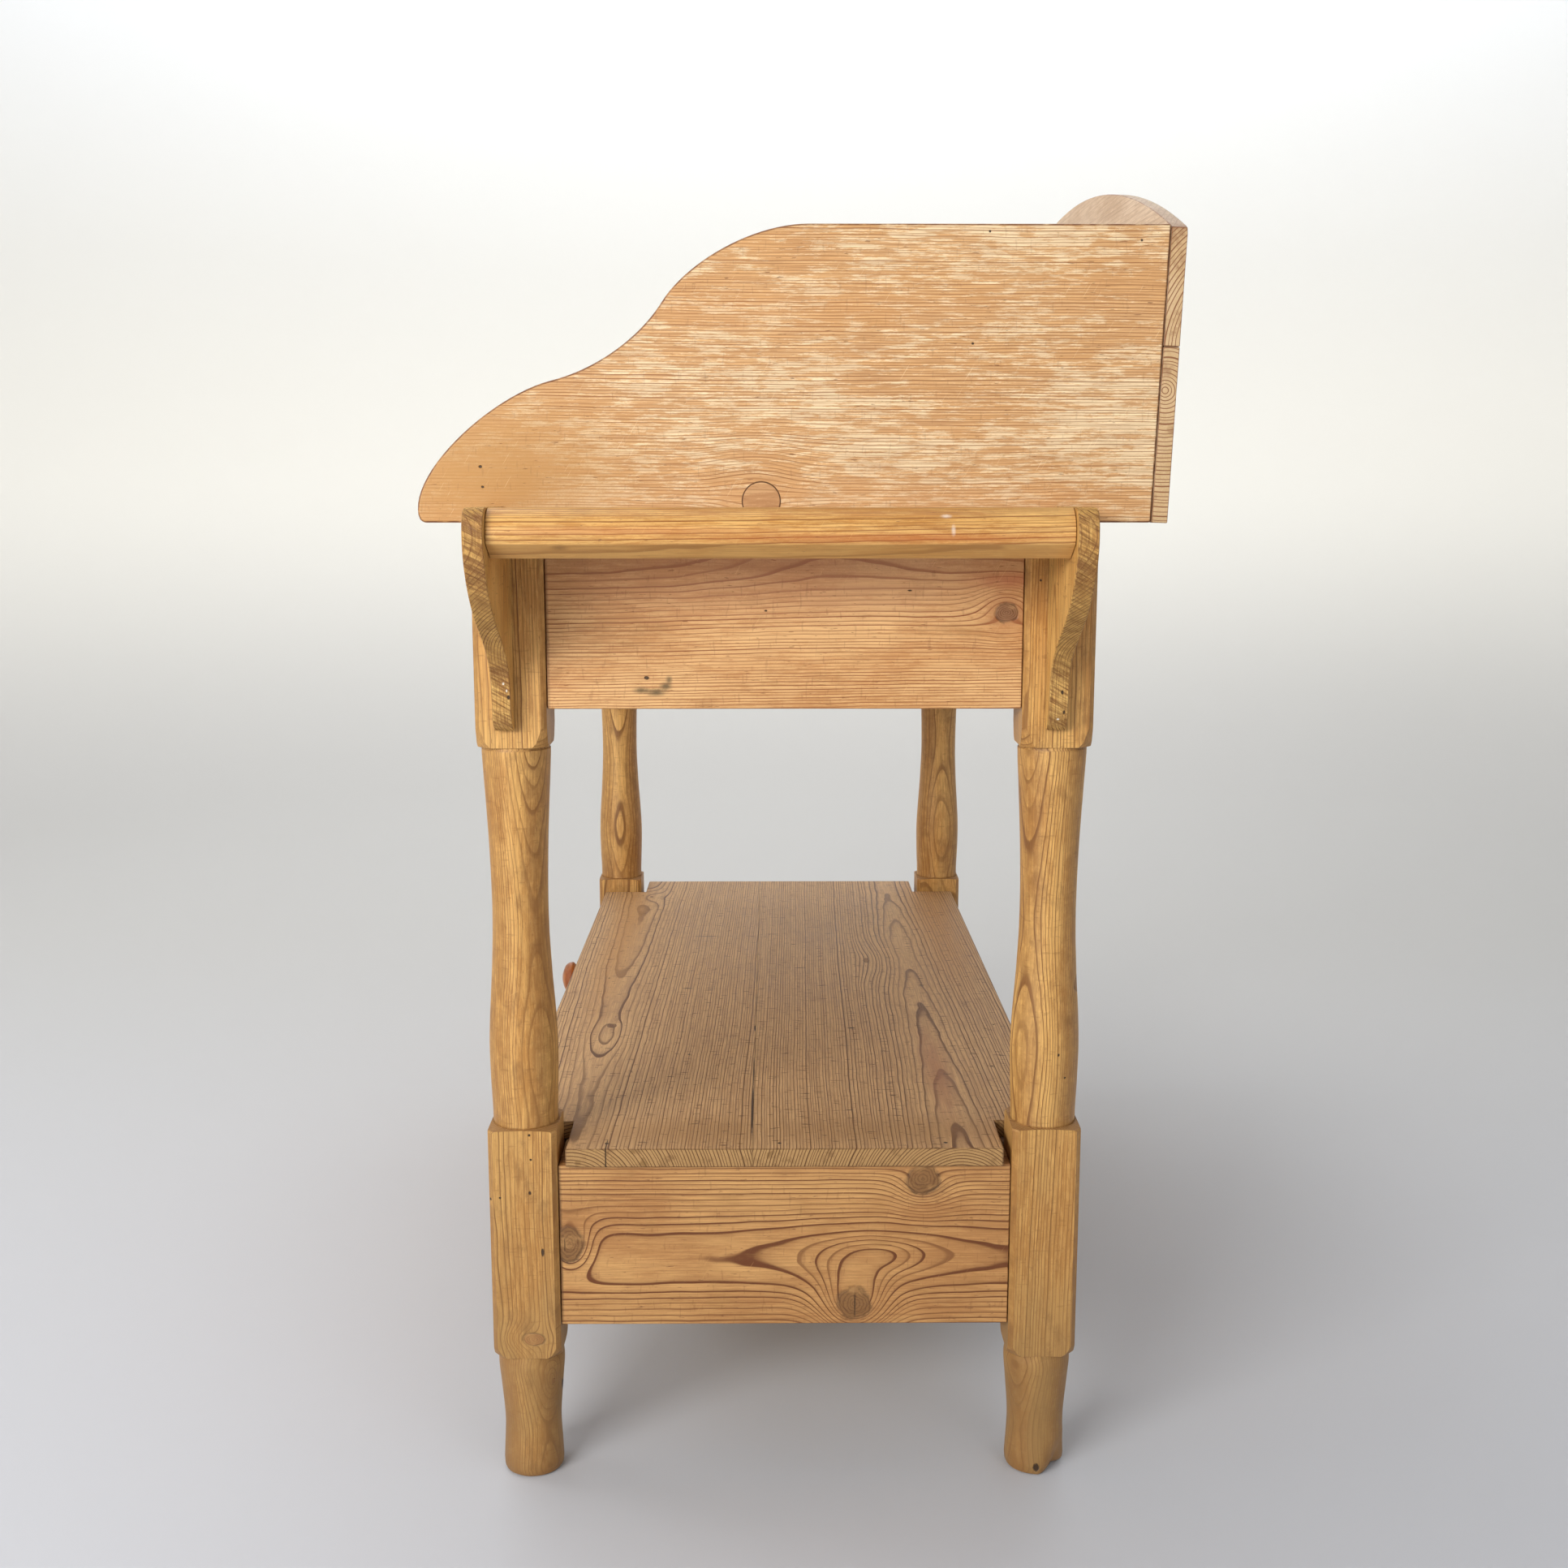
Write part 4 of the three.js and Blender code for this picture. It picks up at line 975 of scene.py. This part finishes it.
LOWER_TOP = 0.129
lower_back = [(-HALF_BACK, 0), (HALF_BACK, 0), (HALF_BACK, LOWER_TOP), (-HALF_BACK, LOWER_TOP)]
for node, outline, pith, seed in (
        ("gallery_back_lower", lower_back, (0.90, -0.24), 31.0),
        ("gallery_back_crest", arch(HALF_BACK), (0.93, -0.33), 37.0)):
    bm = outlined(outline, lambda x, z: Vector((x, 0, z)), Vector((0, BACK_BOARD, 0)))
    bmesh.ops.transform(bm, matrix=Matrix.Translation(BACK_FOOT) @ LEAN_BACK, verts=bm.verts)
    material = pine(node + "_pine", turn=back_turn, pale=paint(226, 202, 172), deep=paint(198, 166, 128),
                    line=paint(152, 108, 72), pith=pith, spacing=0.003, seed=seed, contrast=0.45,
                    patch=0.45, arris=0.85, arris_tone=paint(128, 72, 38), stain=0.15,
                    end_tone=paint(208, 172, 120), knots=[(0.12, 1.0, 0.011, 1.1, 2.3, 0.005, 0.9)])
    settle(bm, node, material, soften=0.0009, angle=35)
print("gallery done")

# %% [markdown]
# ## Towel rails
# Each end has two brackets sawn to a soft double curve and a round rail between them. The saw
# cut straight across the grain on the brackets' front, so those edges show saw strokes. Years
# of towels and one careless planing left a flat along the lower front of the rail.

# %% Brackets
END_X = 488.0
BRACKET = ([(0.3, 635), (6.5, 635), (9.6, 637.2), (14, 642), (16, 652), (17, 666)]
           + sweep((17, 666), (19, 690), (45, 704), (70, 718), 18)
           + sweep((70, 718), (97, 733), (124, 758), (124, 785), 18)
           + [(123.4, 793), (121.2, 799.5), (117, 804.2), (110, 806), (18.3, 806), (18.3, 793.7),
              (0.3, 793.7)])
BRACKET_BASE = dict(turn=POST, pale=paint(240, 196, 116), deep=paint(208, 156, 82),
                    line=paint(128, 78, 30), contrast=0.9, fibre=0.5, spacing=0.0026, wander=0.02,
                    saw=1.0, roughness=0.52, relief=1.3, arris=0.45, end_tone=paint(242, 192, 108),
                    arris_tone=paint(112, 66, 24), nicks=0.3)
BRACKET_MARKS = {
    "front": dict(holes=[(0.662, -0.2227, (0.0022, 0.0014))],
                  filler=[(0.6726, -0.2262, (0.0014, 0.001)), (0.667, -0.224, (0.0014, 0.0008))]),
    "back": dict(holes=[(0.6655, 0.201, (0.002, 0.0012)), (0.650, 0.203, (0.0018, 0.001))],
                 filler=[(0.6445, 0.1985, (0.0008, 0.0012))]),
}

# %% Make the brackets
for end, sign in (("right", 1), ("left", -1)):
    for side in ("front", "back"):
        node = f"towel_bracket_{side}_{end}"
        low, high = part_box(node)
        bm = outlined(BRACKET, lambda b, z: Vector((sign * (END_X + b) * MM, low.y, z * MM)),
                      Vector((0, high.y - low.y, 0)))
        marks = BRACKET_MARKS[side] if sign > 0 else {}
        material = pine(node + "_pine", **BRACKET_BASE, **marks,
                        pith=((low.y + high.y) / 2 + 0.05, -sign * 0.52),
                        seed=40.0 + sign * 3 + (side == "back"))
        bracket = settle(bm, node, material, soften=0.0011, angle=38)
        print(bracket.name, len(bracket.data.polygons), "faces")

# %% Rails
RAIL_RADIUS, RAIL_REACH, RAIL_Z = 18.0, 100.0, 788.0
FLAT_MIDDLE, FLAT_HALF = math.radians(-60), math.radians(35)  # where the flat lies, and half its width
for end, sign in (("right", 1), ("left", -1)):
    node = "towel_rail_" + end
    low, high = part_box(node)
    middle = Vector((sign * (END_X + RAIL_REACH) * MM, (low.y + high.y) / 2, RAIL_Z * MM))
    bm = rod(RAIL_RADIUS * MM, high.y - low.y, "X", middle, segments=72)
    normal = Vector((sign * math.cos(FLAT_MIDDLE), 0, math.sin(FLAT_MIDDLE)))
    plane_off(bm, middle + normal * RAIL_RADIUS * MM * math.cos(FLAT_HALF), normal)
    material = pine(node + "_pine", turn=UPRIGHT_ALONG_Y, pale=paint(240, 192, 116),
                    deep=paint(208, 150, 78), line=paint(130, 70, 24), pith=(0.83, sign * 0.57),
                    spacing=0.0026, wander=0.011, lean=0.012, contrast=0.95, seed=51.0 + sign, patch=0.5,
                    fibre=0.45, roughness=0.36, arris=0.0,
                    planed=((sign * 0.5, 0, -0.866), paint(200, 152, 92), 0.5),
                    stains_and_shade=[(0.06, 0.785, (0.13, 0.0035), 0.6, paint(176, 92, 40)),
                            (-0.12, 0.79, (0.1, 0.003), 0.4, paint(190, 110, 52)),
                            (0.1, 0.8, (0.0034, 0.0012), 0.55, paint(246, 236, 224)),
                            (0.105, 0.7905, (0.0014, 0.0036), 0.45, paint(246, 236, 224)),
                            (-0.17, 0.778, (0.006, 0.002), 1.0, paint(104, 66, 34))])
    settle(bm, node, material, soften=0.0008, angle=26)
print("towel rails done")

# %% [markdown]
# ## Drawer
# The long drawer hides under the pot shelf. Its parts keep the CAD shape, with the dovetails
# that lock the sides to the front, and its two knobs are turned in a harder, redder wood.

# %% Drawer boards
FACE = pine("drawer_front_pine", **LONG, pith=(0.2, 0.18), seed=61.0, contrast=0.85, spacing=0.003,
            lean=0.014,
            knots=[(0.09, 0.205, 0.010, 1.2, 2.3, 0.005, 0.9), (-0.33, 0.24, 0.008, 1.2, 2.3, 0.004, 0.9)])
settle(from_frame("drawer_front"), "drawer_front", FACE, soften=0.0009)
INSIDE = dict(pale=paint(236, 206, 160), deep=paint(212, 176, 126), line=paint(176, 126, 78),
              contrast=0.6, roughness=0.72, patch=0.35, arris=0.3)
for node, turn, pith in (("drawer_side_right", UPRIGHT_ALONG_Y, (0.18, 0.37)),
                         ("drawer_side_left", UPRIGHT_ALONG_Y, (0.24, -0.36)),
                         ("drawer_back", UPRIGHT_ALONG_X, (0.25, -0.1)),
                         ("drawer_bottom", FLAT_ALONG_X, (0.02, 0.1))):
    material = pine(node + "_pine", turn=turn, pith=pith, seed=65.0 + len(node) + pith[0], **INSIDE)
    settle(from_frame(node), node, material, soften=0.0005)

# %% Knobs
KNOB_LENGTH = 41
KNOB_PROFILE = [(0, -19), (7, -19), (7, 0.3), (10.9, 0.3), (11.5, 1.2),
                *flowing([(11.5, 3), (8, 12), (13, 22), (19, 28), (16, 36), (7, 40), (0, KNOB_LENGTH)], 9)]
KNOB = pine("knob_red_wood", turn=UPRIGHT_ALONG_X, pale=paint(200, 122, 58), deep=paint(154, 84, 34),
            line=paint(92, 44, 16), pith=(0.2, 0.3), spacing=0.0022, seed=71.0, contrast=0.5,
            roughness=0.3, arris=0.0, end_tone=paint(140, 70, 34))
for end in ("right", "left"):
    node = "drawer_knob_" + end
    low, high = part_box(node)
    middle = ((low.x + high.x) / 2, low.y + KNOB_LENGTH * MM, (low.z + high.z) / 2)
    bm = lay(turned([(r * MM, h * MM) for r, h in KNOB_PROFILE], steps=48), "X", middle)
    settle(bm, node, KNOB, soften=0, angle=50)
print("drawer done")

# %% [markdown]
# ## Hidden wood
# Glue blocks, runners, guides, kickers and stops were sawn and never finished. They are seen
# only from underneath or with the drawer out, so they are plain planks in raw pine.

# %% Hidden parts
HIDDEN_KINDS = ("glue_block", "drawer_runner", "drawer_guide", "drawer_kicker", "drawer_stop")
RAW = dict(pale=paint(226, 190, 140), deep=paint(196, 154, 104), line=paint(160, 108, 62), contrast=0.6,
           roughness=0.8, arris=0.3, saw=0.3)
RAW_X = pine("raw_pine_along_x", turn=FLAT_ALONG_X, pith=(0.1, 0.5), seed=81.0, **RAW)
RAW_Y = pine("raw_pine_along_y", turn=UPRIGHT_ALONG_Y, pith=(0.35, 0.2), seed=84.0, **RAW)
hidden = [name for name in bodies["bench"] if name.startswith(HIDDEN_KINDS)]
for node in hidden:
    low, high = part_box(node)
    grain = 0 if high.x - low.x > high.y - low.y else 1
    settle(plank(low, high, grain, cuts=5), node, RAW_X if grain == 0 else RAW_Y,
           soften=0.0008)
print("hidden parts:", len(hidden))

# %% [markdown]
# ## Small hardware and repairs
# The plug is a disc of pine let into the gallery's side where a knot fell out. It stands a hair
# proud, in a dark ring that is painted shade of the joint round it. Both are thin discs that lie
# in the board's surface, and the nails need no pieces of their own: their heads are marks in the
# pine of each board.

# %% Plug
PLUG_Y, PLUG_Z, PLUG_RADIUS, SHADE_RING_WIDTH = -29.2 * MM, 810.0 * MM, 14.0 * MM, 0.8 * MM
# The plug's dark arris is painted shade of the joint round it, as well as wear.
plug_pine = pine("plug_pine", turn=UPRIGHT_ALONG_Y, pale=paint(220, 176, 124), deep=paint(188, 138, 90),
                 line=paint(150, 94, 48), pith=(0.812, 0.49), spacing=0.0024, seed=91.0, contrast=0.7,
                 arris=1.0, arris_tone=paint(96, 56, 28))
# A dark disc a little wider than the plug: painted shade of the joint round the plug.
plug_ring_shade = pine("plug_ring_shade", turn=UPRIGHT_ALONG_Y, pale=paint(112, 72, 38), deep=paint(72, 46, 26),
                line=paint(50, 32, 18), pith=(0.8, 0.5), seed=95.0, roughness=0.7)
for name, radius, depth, sunk, soften, wood in (
        ("gallery_plug", PLUG_RADIUS, 0.004, 0.0017, 0.0004, plug_pine),
        ("gallery_plug_shade_ring", PLUG_RADIUS + SHADE_RING_WIDTH, 0.003, 0.00145, 0.0001, plug_ring_shade)):
    disc = rod(radius, depth, "Y", (side_high.x - sunk, PLUG_Y, PLUG_Z), segments=56)
    settle(disc, "gallery_side_right", wood, soften=soften, name=name)
    print(name, "reaches", round((depth / 2 - sunk) / MM, 2), "mm out of the board")

# %% [markdown]
# ## Floor and light
# The floor is one pale sheet that curves up into a wall far behind, all the way round, so
# every view ends in the same quiet tone. Its colour holds painted shade and light: grey on the
# floor, whiter up the wall, and cooler on the floor towards +X, where the camera stands. A wide
# soft lamp stands off the right-hand end, at the height of the gallery and a little to the front,
# so light rakes over the end from its left. Weak lamps fill from the other sides and from above,
# one washes the far wall, and the world is a pale, dim sky.

# %% Stage
FLOOR_FLAT, FLOOR_CURVE, WALL, CURVE_STEPS = 3.0, 1.6, 5.5, 12
FLOOR_GAP = 0.0002  # the floor lies this far under the feet, so that the two never flicker
climb = [math.pi / 2 * k / CURVE_STEPS for k in range(CURVE_STEPS + 1)]
path = ([(0.0, 0.0), (1.5, 0.0)]
        + [(FLOOR_FLAT + FLOOR_CURVE * math.sin(a), FLOOR_CURVE * (1 - math.cos(a))) for a in climb]
        + [(FLOOR_FLAT + FLOOR_CURVE, WALL)])
bm = turned([(r, z - FLOOR_GAP) for r, z in path], steps=96)
mesh = bpy.data.meshes.new("studio_floor")
bm.to_mesh(mesh)
bm.free()
for face in mesh.polygons:
    face.use_smooth = True
floor = bpy.data.objects.new("studio_floor", mesh)
bpy.context.scene.collection.objects.link(floor)

# %% Floor paint, with painted shade and light
floor_paint = bpy.data.materials.new("studio_paint")
floor_paint.use_nodes = True
paper = floor_paint.node_tree.nodes["Principled BSDF"]
n = Nodes(floor_paint.node_tree)
# Painted shade and light: the floor is grey and the wall turns whiter with height, standing in for how the
# light falls off; the floor is cooler towards +X.
FLOOR_SHADE_WARM, FLOOR_SHADE_COOL = (0.56, 0.552, 0.54, 1), (0.60, 0.612, 0.65, 1)
WALL_LIGHT_WARM, WALL_LIGHT_COOL = (0.88, 0.86, 0.80, 1), (0.87, 0.89, 0.915, 1)
sheet_x, _, sheet_height = n.split(n.add("ShaderNodeTexCoord").outputs["Object"])
sheet = n.blend(n.between(sheet_x, -1.5, 0.8), FLOOR_SHADE_WARM, FLOOR_SHADE_COOL)
sheet = n.blend(n.between(sheet_height, -0.1, 0.9), sheet, WALL_LIGHT_WARM)
sheet = n.blend(n.between(sheet_height, 0.9, 3.0), sheet, WALL_LIGHT_COOL)
n.feed(paper.inputs["Base Color"], sheet)
paper.inputs["Roughness"].default_value = 0.7
paper.inputs["Specular IOR Level"].default_value = 0.2
mesh.materials.append(floor_paint)
floor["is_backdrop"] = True
print("floor faces:", len(mesh.polygons))


# %% Lights
def soft_lamp(name, place, target, width, height, power, tint):
    """A rectangular lamp that faces its target and stays out of the picture itself."""
    lamp = bpy.data.lights.new(name, "AREA")
    lamp.shape = "RECTANGLE"
    lamp.size, lamp.size_y = width, height
    lamp.energy = power
    lamp.color = tint
    holder = bpy.data.objects.new(name, lamp)
    holder.location = place
    holder.rotation_euler = (Vector(target) - Vector(place)).to_track_quat("-Z", "Y").to_euler()
    holder.visible_camera = False
    bpy.context.scene.collection.objects.link(holder)
    print(name, power, "W")


soft_lamp("key_window", (2.75, -1.75, 1.42), (0.3, 0, 0.88), 1.7, 0.9, 75, (1.0, 0.985, 0.96))
soft_lamp("side_window", (-0.5, -2.6, 1.95), (-0.1, 0, 0.3), 0.9, 0.8, 8, (0.92, 0.96, 1.0))
soft_lamp("fill_right", (2.7, 1.6, 1.6), (0.3, 0, 0.85), 1.6, 1.0, 9, (0.95, 0.97, 1.0))
soft_lamp("top_sheet", (-0.6, -0.5, 3.2), (-0.3, 0, 0), 2.6, 2.6, 33, (1.0, 0.99, 0.98))
soft_lamp("wall_wash", (-2.6, 0.0, 4.6), (-4.6, 0, 3.2), 5.0, 1.0, 120, (1.0, 1.0, 1.0))

# %% World
world = bpy.data.worlds.new("pale_studio")
world.use_nodes = True
sky = world.node_tree.nodes["Background"]
sky.inputs["Color"].default_value = (0.93, 0.96, 1.0, 1)
sky.inputs["Strength"].default_value = 0.2
bpy.context.scene.world = world
bpy.context.scene.view_settings.view_transform = "Standard"
print("stage and lights ready")

# %% [markdown]
# ## The two boxes
# The CAD model's box and the visible model's box are printed side by side.

# %% Size and finish
new_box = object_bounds()
for label, corners in (("cad box", cad_box), ("visual box", new_box)):
    print(label, [[round(v, 4) for v in corner] for corner in corners])
